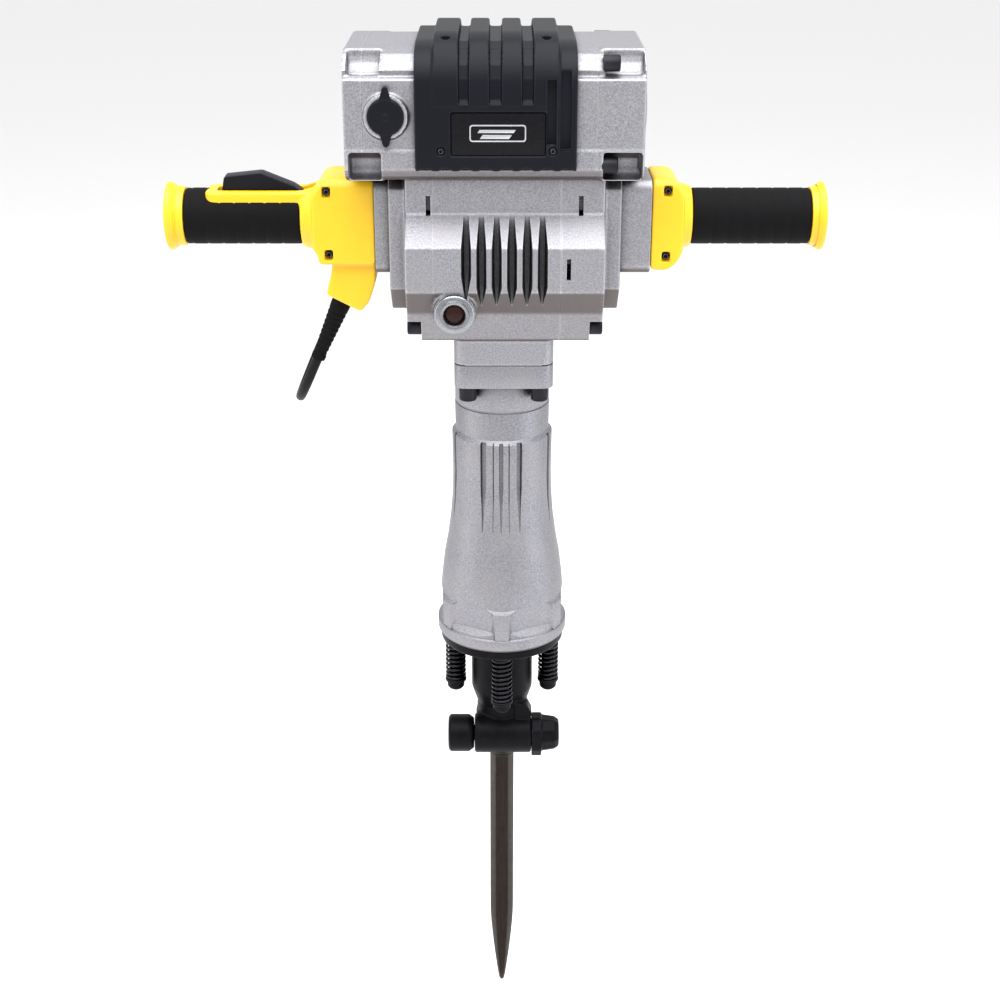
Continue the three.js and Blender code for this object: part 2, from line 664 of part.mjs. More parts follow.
// ---------------------------------------------------------------- chisel
// A hexagonal bar, forged to a point that is slightly convex along its taper.
function chisel() {
  const { flats, body, collar, shoulder, top, taper, tip } = CHISEL;
  const stages = [[0, tip], [taper * 0.25, 5], [taper * 0.6, 8.9], [taper, body / 2]];
  const point = stages.slice(1).map(([z, r], i) => {
    const [z0, r0] = stages[i];
    const geometry = new THREE.CylinderGeometry(r, r0, z - z0, 6, 1);
    return solid(geometry.scale(2 / Math.sqrt(3), 1, 2 / Math.sqrt(3)).rotateY(Math.PI / 6)
      .rotateX(Math.PI / 2).translate(0, 0, (z + z0) / 2));
  });
  const bar = prism("z", hexagon(body), taper, shoulder - 6);
  const shank = prism("z", hexagon(flats), shoulder - 2, top);
  const shoulderRing = rod("z", collar, shoulder - 7, shoulder, [0, 0]);
  const notch = box(-20, 20, -20, -11.4, STOPPER.z - 8.6 - CHISEL_TRAVEL, STOPPER.z + 8.6);
  return cut(join(...point, bar, shoulderRing, shank), notch);
}
add("chisel", chisel(), "toolSteel");

// ---------------------------------------------------------------- handles
const gripAt = [0, GRIP.z];
const strainTop = [STRAIN.x, 0, STRAIN.z];
const LEFT_SHELL = { right: -126.3, top: 943, bottom: 846 };

function leftHandleBlank() {
  const { right, top, bottom } = LEFT_SHELL;
  const outline = [
    [right, bottom], [right, top - 4], [right - 8, top], [-166, top], [-178, top - 14],
    [-180, 925], [GRIP.leftIn, 922], [GRIP.leftIn, 870], [-180, 866], [-174, 852],
    [-169, 820], [-137, 803], [-128, 822],
  ];
  const housing = prism("y", outline, -HANDLE_HALF, HANDLE_HALF);
  const core = rod("x", GRIP.core, GRIP.leftOut - 2, GRIP.leftIn + 2, gripAt, 24);
  return join(housing, core);
}
function leftHandleHollow() {
  const pocket = prism("y", [
    [-132, 856], [-132, 934], [-164, 934], [-172, 926], [-172, 866], [-164, 830], [-140, 816],
  ], -31, 31);
  const channel = rod("x", 13, GRIP.leftOut + 12, -168, gripAt);
  const cordHole = rod("z", CORD.radius + 0.6, -30, 60, [0, 0], 16)
    .rotate([0, STRAIN.lean, 0])
    .translate(strainTop);
  const trigger = box(TRIGGER.outer - 4, -174, -TRIGGER.half - 1, TRIGGER.half + 1, 912.5, 960);
  return join(pocket, channel, cordHole, trigger);
}

const leftHandle = cut(leftHandleBlank(), leftHandleHollow());
const half = (side) => box(-400, 0, ...sorted(side * GAP / 2, side * 80), 700, 1100);
add("left_handle_front_shell", leftHandle.intersect(half(-1)), "yellowPlastic");
add("left_handle_rear_shell", leftHandle.intersect(half(1)), "yellowPlastic");

const fingerRidges = (from, to) => {
  const steps = 5;
  const pitch = (to - from) / steps;
  const profile = [];
  for (let i = 0; i < steps; i++) {
    const start = from + i * pitch;
    profile.push([GRIP.radius - 0.8, start], [GRIP.radius, start + 0.2 * pitch]);
    profile.push([GRIP.radius, start + 0.8 * pitch]);
  }
  return [...profile, [GRIP.radius - 0.8, to]];
};
function grip(from, to) {
  const inner = GRIP.core + GAP;
  const profile = [[inner, from], ...fingerRidges(from, to), [inner, to], [inner, from]];
  return turned("x", profile, gripAt, 20);
}
add(
  "left_grip",
  cut(
    grip(GRIP.leftOut, GRIP.leftIn - GAP),
    box(TRIGGER.outer - 3, -180, -TRIGGER.half - 0.6, TRIGGER.half + 0.6, 908, 960),
  ),
  "blackRubber",
);
add("right_grip", grip(GRIP.rightIn + GAP, GRIP.rightOut), "blackRubber");

function endFlange(inner, outer) {
  const out = Math.sign(outer - inner);
  const near = inner + out * 2;
  const profile = [
    [0, near], [GRIP.radius + 2, near], [GRIP.radius + 4, near + out * 7],
    [FLANGE.radius, outer - out * 4], [FLANGE.radius, outer - out], [FLANGE.radius - 3, outer],
    [0, outer],
  ];
  return turned("x", profile, gripAt, 24);
}
add("left_end_flange", endFlange(GRIP.leftOut - 0.5, FLANGE.leftEnd), "yellowPlastic");
add("right_end_flange", endFlange(GRIP.rightOut - 1.5, FLANGE.rightEnd), "yellowPlastic");

function trigger() {
  const { pivotX, pivotZ, outer, half: side } = TRIGGER;
  const outline = [
    [outer, 922.4], [-263, 939], [-230, 941], [-197, 929], [pivotX, pivotZ + 5],
    [pivotX + 5, pivotZ], [pivotX, pivotZ - 4], [pivotX - 6, pivotZ - 3],
  ];
  return prism("y", outline, -side, side);
}
add("trigger", trigger(), "blackPlastic");
add("switch_box", box(-166, -138, -16, 16, 872, 924), "blackPlastic");

// The right handle is one moulding: a flared base, a neck and the core under its grip.
function rightHandleCore() {
  const base = prism("y", [
    [139.8, 848], [139.8, 943], [158, 943], [168, 934], [171, 925], [GRIP.rightIn, 921],
    [GRIP.rightIn, 871], [171, 867], [166, 856], [156, 849],
  ], -HANDLE_HALF, HANDLE_HALF);
  const bar = rod("x", GRIP.core, GRIP.rightIn - 2, GRIP.rightOut + 0.2, gripAt, 24);
  return cut(join(base, bar), rod("x", 12, 139, 280, gripAt));
}
add("right_handle", rightHandleCore(), "yellowPlastic");

function bracket(from, to) {
  const outline = roundedRectangle(-HANDLE_HALF, HANDLE_HALF, 848, 937, 10);
  return cut(prism("x", outline, from, to), rod("x", 10, from - OVER, to + OVER, gripAt));
}
add("left_handle_bracket", bracket(-126, CASE.left - SIDE.thick - GAP), "castAluminium");
add("right_handle_bracket", bracket(CASE.right + SIDE.thick + GAP, 139.5), "castAluminium");

// ---------------------------------------------------------------- cord
function strainRelief() {
  const end = -STRAIN.length;
  const stem = CORD.radius + 0.5;
  const profile = [
    [0, end], [9.2, end], [9.2, end + 4], [7.5, end + 5], [9.8, -4], [9.8, -1], [stem, -1],
    [stem, 12], [0, 12],
  ];
  return turned("z", profile, [0, 0], 20).rotate([0, STRAIN.lean, 0]).translate(strainTop);
}
add("strain_relief", strainRelief(), "blackRubber");

// The free cord: out of the strain relief, round a bend to the back and up to the coil.
const leanRadians = THREE.MathUtils.degToRad(STRAIN.lean);
const cordDown = [-Math.sin(leanRadians), 0, -Math.cos(leanRadians)];
const exitPoint = strainTop.map((value, i) => value + cordDown[i] * (STRAIN.length + GAP));
const cordStart = [0, 7, 14].map((along) => exitPoint.map((value, i) => value + cordDown[i] * along));
const bendPoints = Array.from({ length: 9 }, (_, i) => {
  const angle = ((i + 1) * Math.PI) / 9;
  const ahead = 14 + CORD.bend * Math.sin(angle);
  return [
    exitPoint[0] + cordDown[0] * ahead,
    CORD.bend * (1 - Math.cos(angle)),
    exitPoint[2] + cordDown[2] * ahead,
  ];
});
const cordRise = [
  [-178, 86, 760], [-165, 90, 782], [-148, 95, 806], [-126, 100, 821], [-106, 104, 829],
  [-90, 107, 838], [-80, 107, 850],
];
add("cord_run", tube([...cordStart, ...bendPoints, ...cordRise], CORD.radius, 8, 30), "blackRubber");
add(
  "cord_coil",
  ring("y", COIL.inner, COIL_OUTER, COIL.yFrom, COIL_BACK, [COIL.x, COIL.z], 36),
  "blackRubber",
);

// The plug hangs beside the coil, its cable end up.
function plug() {
  const { x, y, top } = PLUG;
  const body = turned("z", [
    [0, top - 52], [17, top - 52], [18.5, top - 46], [18.5, top - 36], [11, top - 18], [7, top - 2],
    [6, top], [0, top],
  ], [x, y], 24);
  const pins = [-9.5, 9.5].map((dx) => rod("z", 2.4, top - 70, top - 50, [x + dx, y], 12));
  return join(body, ...pins);
}
add("plug", plug(), "blackRubber");
add(
  "cord_tail",
  tube([[COIL.x + 59, 107, 906], [62, 107, 902], [72, 107, 893], [77.5, 107, 878], [PLUG.x, 107, 864],
    [PLUG.x, 107, PLUG.top + GAP]], CORD.radius, 8, 8),
  "blackRubber",
);

// A strap holds the top of the coil and hooks behind the motor cover's rear edge.
function cordStrap() {
  const half = 10;
  const outer = box(COIL.x - half, COIL.x + half, COIL.yFrom - 2.6, COIL_BACK + 2.6, 900, 940);
  const inner = box(
    COIL.x - half - 1, COIL.x + half + 1, COIL.yFrom - 0.6, COIL_BACK + 0.6, 902, 936.5,
  );
  const tab = box(COIL.x - half, COIL.x + half, COIL.yFrom - 2.6, COIL.yFrom - 0.2, 938, 952);
  return join(cut(outer, inner), tab);
}
add("cord_strap", cordStrap(), "blackRubber");

export default jackhammer;
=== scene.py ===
import math

import bmesh
import bpy
from mathutils import Matrix, Vector


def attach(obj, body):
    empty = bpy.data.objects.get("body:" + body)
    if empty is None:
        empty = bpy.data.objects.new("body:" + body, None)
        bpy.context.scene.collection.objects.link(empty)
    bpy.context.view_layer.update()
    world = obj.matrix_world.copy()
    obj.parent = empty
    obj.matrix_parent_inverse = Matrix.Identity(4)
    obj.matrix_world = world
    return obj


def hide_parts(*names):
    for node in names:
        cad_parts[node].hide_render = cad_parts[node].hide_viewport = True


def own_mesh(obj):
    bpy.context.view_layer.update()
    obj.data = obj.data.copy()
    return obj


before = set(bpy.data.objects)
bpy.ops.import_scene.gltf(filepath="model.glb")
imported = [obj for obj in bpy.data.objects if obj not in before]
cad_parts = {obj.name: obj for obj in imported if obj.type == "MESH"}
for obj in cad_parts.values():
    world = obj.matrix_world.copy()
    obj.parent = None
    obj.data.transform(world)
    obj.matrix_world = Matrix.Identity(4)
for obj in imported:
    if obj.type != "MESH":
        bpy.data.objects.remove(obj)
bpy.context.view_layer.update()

MM = 0.001
scene = bpy.context.scene
scene.view_settings.view_transform = "Standard"


# ---------------------------------------------------------------- camera
def set_camera():
    """A long lens, a little above the head, looking down at the tool."""
    camera = bpy.data.objects.new("camera", bpy.data.cameras.new("camera"))
    camera.location = Vector((-2.04, -1596.8, 1279.4)) * MM
    camera.rotation_euler = (math.radians(67), 0, 0)
    camera.data.lens = 61.2
    scene.collection.objects.link(camera)
    scene.camera = camera


set_camera()


# ---------------------------------------------------------------- materials
def linear(code):
    """An sRGB hex colour as the linear RGBA that shader sockets take."""
    shares = [int(code[i:i + 2], 16) / 255 for i in (1, 3, 5)]
    return [s / 12.92 if s <= 0.04045 else ((s + 0.055) / 1.055) ** 2.4 for s in shares] + [1]


def add(tree, kind, settings=None, links=None):
    """Adds a node: settings are its properties or its unlinked sockets, links feed its sockets."""
    made = tree.nodes.new("ShaderNode" + kind)
    for key, value in (settings or {}).items():
        if key in made.inputs:
            made.inputs[key].default_value = value
        else:
            setattr(made, key, value)
    for key, output in (links or {}).items():
        tree.links.new(output, made.inputs[key])
    return made


def begin(name, **sockets):
    """A new material with its shader's own sockets set. Gives it, its tree, its shader and object space."""
    material = bpy.data.materials.new(name)
    material.use_nodes = True
    tree = material.node_tree
    shader = tree.nodes["Principled BSDF"]
    for key, value in sockets.items():
        shader.inputs[key.replace("_", " ")].default_value = value
    return material, tree, shader, add(tree, "TexCoord").outputs["Object"]


def every(size):
    """The texture scale that repeats once every so many millimetres."""
    return 1 / (size * MM)


def knocked(tree, colour, worn, most, low=0.52, high=0.58):
    """The same colour with its outer edges worn to another, as far as the most share."""
    ridge = add(tree, "NewGeometry").outputs["Pointiness"]
    share = add(tree, "MapRange", {"From Min": low, "From Max": high, "To Max": most},
                {"Value": ridge}).outputs[0]
    return add(tree, "MixRGB", {"Color2": linear(worn)}, {"Fac": share, "Color1": colour}).outputs[0]


def dress(tree, shader, colour, rough, bump):
    """Feeds the shader its colour, roughness and relief."""
    tree.links.new(colour, shader.inputs["Base Color"])
    tree.links.new(rough, shader.inputs["Roughness"])
    tree.links.new(bump, shader.inputs["Normal"])


def shot_blasted_aluminium(name, dark, light, rubbing):
    """Die-cast aluminium, shot-blasted: pale grey, finely grained, with its edges rubbed bright.

    Downward-facing faces are darkened to a brownish grey as painted shade, and painted shade darkens the
    grooves and corners."""
    material, tree, shader, place = begin(name, Metallic=1.0)
    # the real grit is 0.3 mm; it is drawn at 1.4 mm so that it shows
    grain = add(tree, "TexNoise", {"Scale": every(1.4), "Detail": 4, "Roughness": 0.65},
                {"Vector": place}).outputs["Fac"]
    cloud = add(tree, "TexNoise", {"Scale": every(30), "Detail": 3}, {"Vector": place}).outputs["Fac"]
    spread = add(tree, "MapRange", {"From Min": 0.28, "From Max": 0.72}, {"Value": grain}).outputs[0]
    grey = add(tree, "MixRGB", {"Color1": linear(dark), "Color2": linear(light)},
               {"Fac": spread}).outputs[0]
    drift = add(tree, "MapRange", {"From Min": 0.35, "From Max": 0.7, "To Max": 0.35},
                {"Value": cloud}).outputs[0]
    clouded = add(tree, "MixRGB", {"Color2": linear("#a09c9b")},
                  {"Fac": drift, "Color1": grey}).outputs[0]
    rubbed = knocked(tree, clouded, "#eeeef0", rubbing)
    # painted shade: faces that look downwards are darkened towards a brownish grey, standing in for the light
    # that does not reach them from below
    facing = add(tree, "NewGeometry").outputs["Normal"]
    upright = add(tree, "SeparateXYZ", None, {"Vector": facing}).outputs["Z"]
    underside_shade = add(tree, "MapRange", {"From Min": -0.25, "From Max": -0.6, "To Max": 0.9},
               {"Value": upright}).outputs[0]
    underside_shaded = add(tree, "MixRGB", {"Color2": linear("#5f5755")}, {"Fac": underside_shade, "Color1": rubbed}).outputs[0]
    # painted shade: ambient occlusion darkens the grooves, corners and recesses towards near black
    open_air = add(tree, "AmbientOcclusion", {"samples": 6, "Distance": 16 * MM}).outputs["AO"]
    crevice_shade = add(tree, "MapRange", {"From Min": 0.75, "From Max": 0.25, "To Max": 0.9},
                {"Value": open_air}).outputs[0]
    colour = add(tree, "MixRGB", {"Color2": linear("#1d1b1c")}, {"Fac": crevice_shade, "Color1": underside_shaded}).outputs[0]
    rough = add(tree, "MapRange", {"To Min": 0.42, "To Max": 0.6}, {"Value": grain}).outputs[0]
    bump = add(tree, "Bump", {"Strength": 0.3, "Distance": 0.3 * MM}, {"Height": grain}).outputs[0]
    dress(tree, shader, colour, rough, bump)
    return material


def moulded_plastic(name, body, worn, dust, roughness, texture_mm, relief_mm, shine):
    """Injection-moulded plastic with a spark-eroded skin, paler where hands and knocks polish its edges."""
    material, tree, shader, place = begin(name, IOR=1.5, Specular_IOR_Level=shine)
    skin = add(tree, "TexNoise", {"Scale": every(texture_mm), "Detail": 3}, {"Vector": place}).outputs["Fac"]
    cloud = add(tree, "TexNoise", {"Scale": every(45), "Detail": 4}, {"Vector": place}).outputs["Fac"]
    drift = add(tree, "MapRange", {"From Min": 0.4, "From Max": 0.75, "To Max": 0.5},
                {"Value": cloud}).outputs[0]
    base = add(tree, "MixRGB", {"Color1": linear(body), "Color2": linear(dust)}, {"Fac": drift}).outputs[0]
    colour = knocked(tree, base, worn, 0.6)
    rough = add(tree, "MapRange", {"To Min": roughness - 0.07, "To Max": roughness + 0.09},
                {"Value": skin}).outputs[0]
    bump = add(tree, "Bump", {"Strength": 0.35, "Distance": relief_mm * MM}, {"Height": skin}).outputs[0]
    dress(tree, shader, colour, rough, bump)
    return material


def yellow_abs():
    """Yellow ABS: warm and saturated, satin, with a faint orange peel."""
    return moulded_plastic("yellow_abs", "#ecbe18", "#f6d860", "#e6b20c", 0.36, 2.2, 0.05, 0.5)


def glass_filled_nylon():
    """Black glass-filled nylon with a cool tint and a dull, even skin."""
    return moulded_plastic("glass_filled_nylon", "#0d0f16", "#33353f", "#12141c", 0.44, 0.9, 0.1, 0.14)


def moulded_rubber():
    """Soft black rubber: a fine pebbled skin that hardly shines."""
    material, tree, shader, place = begin("moulded_rubber", IOR=1.5, Specular_IOR_Level=0.1)
    pebble = add(tree, "TexVoronoi", {"Scale": every(1.4)}, {"Vector": place}).outputs["Distance"]
    smear = add(tree, "TexNoise", {"Scale": every(18), "Detail": 5}, {"Vector": place}).outputs["Fac"]
    colour = add(tree, "MixRGB", {"Color1": linear("#060607"), "Color2": linear("#121214")},
                 {"Fac": smear}).outputs[0]
    rough = add(tree, "MapRange", {"To Min": 0.6, "To Max": 0.85}, {"Value": smear}).outputs[0]
    bump = add(tree, "Bump", {"Strength": 0.5, "Distance": 0.25 * MM}, {"Height": pebble}).outputs[0]
    dress(tree, shader, colour, rough, bump)
    return material


def black_oxide_steel():
    """Black-oxide steel: near black with a blue cast, oily, and grey where its edges are knocked."""
    material, tree, shader, place = begin("black_oxide_steel", Metallic=0.7, Specular_IOR_Level=0.12)
    bloom = add(tree, "TexNoise", {"Scale": every(9), "Detail": 5}, {"Vector": place}).outputs["Fac"]
    grain = add(tree, "TexNoise", {"Scale": every(0.9), "Detail": 2}, {"Vector": place}).outputs["Fac"]
    base = add(tree, "MixRGB", {"Color1": linear("#0b0b0d"), "Color2": linear("#1b1b1f")},
               {"Fac": bloom}).outputs[0]
    colour = knocked(tree, base, "#6d6f76", 0.6, 0.53, 0.62)
    rough = add(tree, "MapRange", {"To Min": 0.34, "To Max": 0.58}, {"Value": bloom}).outputs[0]
    bump = add(tree, "Bump", {"Strength": 0.3, "Distance": 0.1 * MM}, {"Height": grain}).outputs[0]
    dress(tree, shader, colour, rough, bump)
    return material


def forged_tool_steel():
    """Forged tool steel, left as it cooled: brown-black scale, with streaks drawn along the bar."""
    material, tree, shader, place = begin("forged_tool_steel", Metallic=0.8, Specular_IOR_Level=0.3)
    drawn = add(tree, "Mapping", {"Scale": (1, 1, 0.08)}, {"Vector": place}).outputs[0]
    streak = add(tree, "TexNoise", {"Scale": every(2.2), "Detail": 5}, {"Vector": drawn}).outputs["Fac"]
    scale = add(tree, "TexNoise", {"Scale": every(7), "Detail": 6, "Roughness": 0.7},
                {"Vector": place}).outputs["Fac"]
    base = add(tree, "MixRGB", {"Color1": linear("#140f0c"), "Color2": linear("#332a24")},
               {"Fac": streak}).outputs[0]
    patch = add(tree, "MapRange", {"From Min": 0.5, "From Max": 0.72, "To Max": 0.6},
                {"Value": scale}).outputs[0]
    scaled = add(tree, "MixRGB", {"Color2": linear("#241d1b")}, {"Fac": patch, "Color1": base}).outputs[0]
    colour = knocked(tree, scaled, "#7b6d62", 0.5, 0.52, 0.6)
    rough = add(tree, "MapRange", {"To Min": 0.35, "To Max": 0.65}, {"Value": scale}).outputs[0]
    bump = add(tree, "Bump", {"Strength": 0.4, "Distance": 0.2 * MM}, {"Height": scale}).outputs[0]
    dress(tree, shader, colour, rough, bump)
    return material


def turned_metal(name, dark, bright, roughness):
    """Metal cut on a lathe: fine tool lines and a clean, hard shine."""
    material, tree, shader, place = begin(name, Metallic=1.0)
    lines = add(tree, "TexNoise", {"Scale": every(0.8), "Detail": 3}, {"Vector": place}).outputs["Fac"]
    colour = add(tree, "MixRGB", {"Color1": linear(dark), "Color2": linear(bright)},
                 {"Fac": lines}).outputs[0]
    rough = add(tree, "MapRange", {"To Min": roughness - 0.08, "To Max": roughness + 0.1},
                {"Value": lines}).outputs[0]
    bump = add(tree, "Bump", {"Strength": 0.2, "Distance": 0.05 * MM}, {"Height": lines}).outputs[0]
    dress(tree, shader, colour, rough, bump)
    return material


def pvc_sheath():
    """The lead's black PVC sheath: smooth and waxy, with a soft shine along its top."""
    material, tree, shader, place = begin("pvc_sheath", IOR=1.53, Specular_IOR_Level=0.12)
    smear = add(tree, "TexNoise", {"Scale": every(14), "Detail": 4}, {"Vector": place}).outputs["Fac"]
    colour = add(tree, "MixRGB", {"Color1": linear("#0c0c0e"), "Color2": linear("#1a1a1d")},
                 {"Fac": smear}).outputs[0]
    rough = add(tree, "MapRange", {"To Min": 0.38, "To Max": 0.56}, {"Value": smear}).outputs[0]
    tree.links.new(colour, shader.inputs["Base Color"])
    tree.links.new(rough, shader.inputs["Roughness"])
    return material


def oily_sight_glass():
    """A sight glass with red-brown oil behind it: dark, wet and glossy."""
    material, tree, shader, place = begin("oily_sight_glass", IOR=1.5, Specular_IOR_Level=0.25, Roughness=0.1)
    swirl = add(tree, "TexNoise", {"Scale": every(6), "Detail": 4}, {"Vector": place}).outputs["Fac"]
    colour = add(tree, "MixRGB", {"Color1": linear("#120401"), "Color2": linear("#34100a")},
                 {"Fac": swirl}).outputs[0]
    tree.links.new(colour, shader.inputs["Base Color"])
    return material


def lacquered_plate():
    """The badge's gloss-black lacquer, with a faint orange peel."""
    material, tree, shader, place = begin("lacquered_plate", IOR=1.5, Specular_IOR_Level=0.12)
    peel = add(tree, "TexNoise", {"Scale": every(3), "Detail": 2}, {"Vector": place}).outputs["Fac"]
    colour = add(tree, "MixRGB", {"Color1": linear("#0b0b0c"), "Color2": linear("#15151a")},
                 {"Fac": peel}).outputs[0]
    rough = add(tree, "MapRange", {"To Min": 0.2, "To Max": 0.34}, {"Value": peel}).outputs[0]
    tree.links.new(colour, shader.inputs["Base Color"])
    tree.links.new(rough, shader.inputs["Roughness"])
    return material


ALUMINIUM = shot_blasted_aluminium("shot_blasted_aluminium", "#77777c", "#b4b4bb", 0.5)
# the sleeve's casting is a shade darker, and its faces are too long for worn edges to be picked out
SLEEVE_ALUMINIUM = shot_blasted_aluminium("shot_blasted_aluminium_sleeve", "#727277", "#aaaab1", 0.0)
YELLOW = yellow_abs()
NYLON = glass_filled_nylon()
RUBBER = moulded_rubber()
BLACK_STEEL = black_oxide_steel()
TOOL_STEEL = forged_tool_steel()
BRIGHT_STEEL = turned_metal("turned_steel", "#5d5f64", "#b3b5ba", 0.26)
COPPER = turned_metal("enamelled_copper", "#7d4223", "#b8703f", 0.38)
PRINT = turned_metal("satin_nickel", "#b9bbc0", "#dfe0e3", 0.35)
SPRING_STEEL = turned_metal("oiled_spring_steel", "#111113", "#3c3c41", 0.18)
SHEATH = pvc_sheath()
SIGHT_GLASS = oily_sight_glass()
LACQUER = lacquered_plate()


# ---------------------------------------------------------------- shaping tools, in millimetres
def spot(axis, u, v, along):
    """A point from a section's two coordinates and its place along the axis."""
    return {"x": (along, u, v), "y": (u, along, v), "z": (u, v, along)}[axis]


def rounded(points, radius, closed=True, steps=4):
    """The same line with its corners rounded, as far as the sides next to each leave room."""
    made = []
    count = len(points)
    for i, here in enumerate(points):
        if not closed and i in (0, count - 1):
            made.append(here)
            continue
        here = Vector(here)
        before, after = Vector(points[i - 1]) - here, Vector(points[(i + 1) % count]) - here
        reach = min(radius, before.length * 0.45, after.length * 0.45)
        start, end = here + before.normalized() * reach, here + after.normalized() * reach
        for step in range(steps + 1):
            t = step / steps
            made.append(tuple(start * (1 - t) ** 2 + here * 2 * t * (1 - t) + end * t ** 2))
    return made


def loft(axis, *sections):
    """A closed body through sections (along, outline), which all have the same number of points.

    An outline is (y, z) along x, (x, z) along y and (x, y) along z."""
    bm = bmesh.new()
    rings = [[bm.verts.new(spot(axis, u, v, along)) for u, v in outline] for along, outline in sections]
    bm.faces.new(rings[0])
    bm.faces.new(reversed(rings[-1]))
    count = len(rings[0])
    for low, high in zip(rings, rings[1:]):
        for i in range(count):
            j = (i + 1) % count
            bm.faces.new((low[i], low[j], high[j], high[i]))
    bmesh.ops.recalc_face_normals(bm, faces=bm.faces)
    return bm


def prism(axis, outline, low, high):
    """The same outline from one place along the axis to another."""
    return loft(axis, (low, outline), (high, outline))


def block(x0, x1, y0, y1, z0, z1):
    """A box between limits, mostly for cutting with."""
    return prism("z", [(x0, y0), (x1, y0), (x1, y1), (x0, y1)], z0, z1)


def pill(u0, u1, v0, v1, radius):
    """A rectangle with rounded corners."""
    return rounded([(u0, v0), (u1, v0), (u1, v1), (u0, v1)], radius, steps=6)


def hexagon(radius, at=(0, 0)):
    """A hexagon's corners, at a radius from its middle."""
    turns = [i * math.pi / 3 for i in range(6)]
    return [(at[0] + radius * math.cos(a), at[1] + radius * math.sin(a)) for a in turns]


def turned(axis, profile, centre=(0, 0), segments=64):
    """A turned body. The profile is (radius, along), and it ends on the axis or closes on itself."""
    bm = bmesh.new()
    rings = []
    for radius, along in profile:
        turns = [i * 2 * math.pi / segments for i in range(segments if radius > 1e-6 else 1)]
        ring = [(centre[0] + radius * math.cos(a), centre[1] + radius * math.sin(a)) for a in turns]
        rings.append([bm.verts.new(spot(axis, u, v, along)) for u, v in ring])
    closing = rings[:1] if profile[0][0] > 1e-6 else []
    for a, b in zip(rings, rings[1:] + closing):
        for i in range(segments):
            corners = [a[i % len(a)], a[(i + 1) % len(a)], b[(i + 1) % len(b)], b[i % len(b)]]
            corners = list(dict.fromkeys(corners))
            if len(corners) > 2:
                bm.faces.new(corners)
    bmesh.ops.recalc_face_normals(bm, faces=bm.faces)
    return bm


def rod(axis, radius, low, high, centre=(0, 0), segments=32, chamfer=0.0):
    """A round bar with chamfered ends."""
    cut = min(chamfer, radius / 2)
    profile = [(0, low), (radius - cut, low), (radius, low + cut), (radius, high - cut),
               (radius - cut, high), (0, high)]
    if not cut:
        profile = [(0, low), (radius, low), (radius, high), (0, high)]
    return turned(axis, profile, centre, segments)


def swung(bm, degrees, axis="Z", about=(0, 0, 0)):
    """Turns a body about an axis through a point."""
    turn = Matrix.Rotation(math.radians(degrees), 4, axis)
    middle = Matrix.Translation(Vector(about))
    bmesh.ops.transform(bm, matrix=middle @ turn @ middle.inverted(), verts=bm.verts)
    return bm


def flipped(bm):
    """The same body on the other side of the tool's front-to-back middle."""
    bmesh.ops.scale(bm, vec=(1, -1, 1), verts=bm.verts)
    bmesh.ops.reverse_faces(bm, faces=bm.faces)
    return bm


def from_frame(node):
    """A CAD node's own shape, to be worked on as a new piece."""
    bm = bmesh.new()
    bm.from_mesh(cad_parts[node].data)
    bmesh.ops.scale(bm, vec=(1 / MM,) * 3, verts=bm.verts)
    bmesh.ops.remove_doubles(bm, verts=bm.verts, dist=0.01)
    return bm


def made(name, *bodies):
    """One object from one or more bodies."""
    mesh = bpy.data.meshes.new(name)
    whole = bmesh.new()
    for body in bodies:
        body.to_mesh(mesh)
        body.free()
        whole.from_mesh(mesh)
    bmesh.ops.scale(whole, vec=(MM,) * 3, verts=whole.verts)
    whole.to_mesh(mesh)
    whole.free()
    piece = bpy.data.objects.new(name, mesh)
    scene.collection.objects.link(piece)
    return piece


def settle(piece):
    """Makes a piece's modifiers part of its mesh."""
    bpy.context.view_layer.update()
    shape = piece.evaluated_get(bpy.context.evaluated_depsgraph_get())
    mesh = bpy.data.meshes.new_from_object(shape)
    piece.modifiers.clear()
    piece.data = mesh
    return piece


# every piece that is cut is a closed body, which this solver needs
SOLVER = "MANIFOLD"


def carve(piece, *tools, operation="DIFFERENCE"):
    """Cuts the tools out of a piece one by one, or keeps what it shares with them."""
    cutters = [made("cutter", tool) for tool in tools]
    for cutter in cutters:
        cut = piece.modifiers.new("cut", "BOOLEAN")
        cut.object, cut.operation, cut.solver = cutter, operation, SOLVER
    settle(piece)
    for cutter in cutters:
        bpy.data.objects.remove(cutter)
    return piece


def joined(piece, other):
    """Adds another object's mesh to a piece and removes the other object."""
    whole = bmesh.new()
    whole.from_mesh(piece.data)
    whole.from_mesh(other.data)
    whole.to_mesh(piece.data)
    whole.free()
    bpy.data.objects.remove(other)
    return piece


# limits in y and z that hold the whole of the castings
BODY_ROOM = (-200, 200, 600, 1200)


def parted(piece, *bounds):
    """Copies of a piece, each cut down to one pair of limits along x, with a hairline left between."""
    parts = []
    for low, high in bounds:
        part = bpy.data.objects.new(piece.name, piece.data.copy())
        scene.collection.objects.link(part)
        parts.append(carve(part, block(low, high, *BODY_ROOM), operation="INTERSECT"))
    bpy.data.objects.remove(piece)
    return parts


def cast(piece, grain=1.4, softness=6):
    """Melts a piece's bodies into one skin with soft edges and filleted corners, as a mould gives."""
    skin = piece.modifiers.new("skin", "REMESH")
    skin.mode, skin.voxel_size = "VOXEL", grain * MM
    soft = piece.modifiers.new("soft", "SMOOTH")
    soft.factor, soft.iterations = 0.5, softness
    return settle(piece)


def edged(piece, width=0.6, segments=3, angle=35):
    """Breaks a machined piece's sharp edges with a small round."""
    weld = piece.modifiers.new("weld", "WELD")
    weld.merge_threshold = 0.01 * MM
    broken = piece.modifiers.new("edges", "BEVEL")
    broken.width, broken.segments = width * MM, segments
    broken.limit_method, broken.angle_limit = "ANGLE", math.radians(angle)
    return settle(piece)


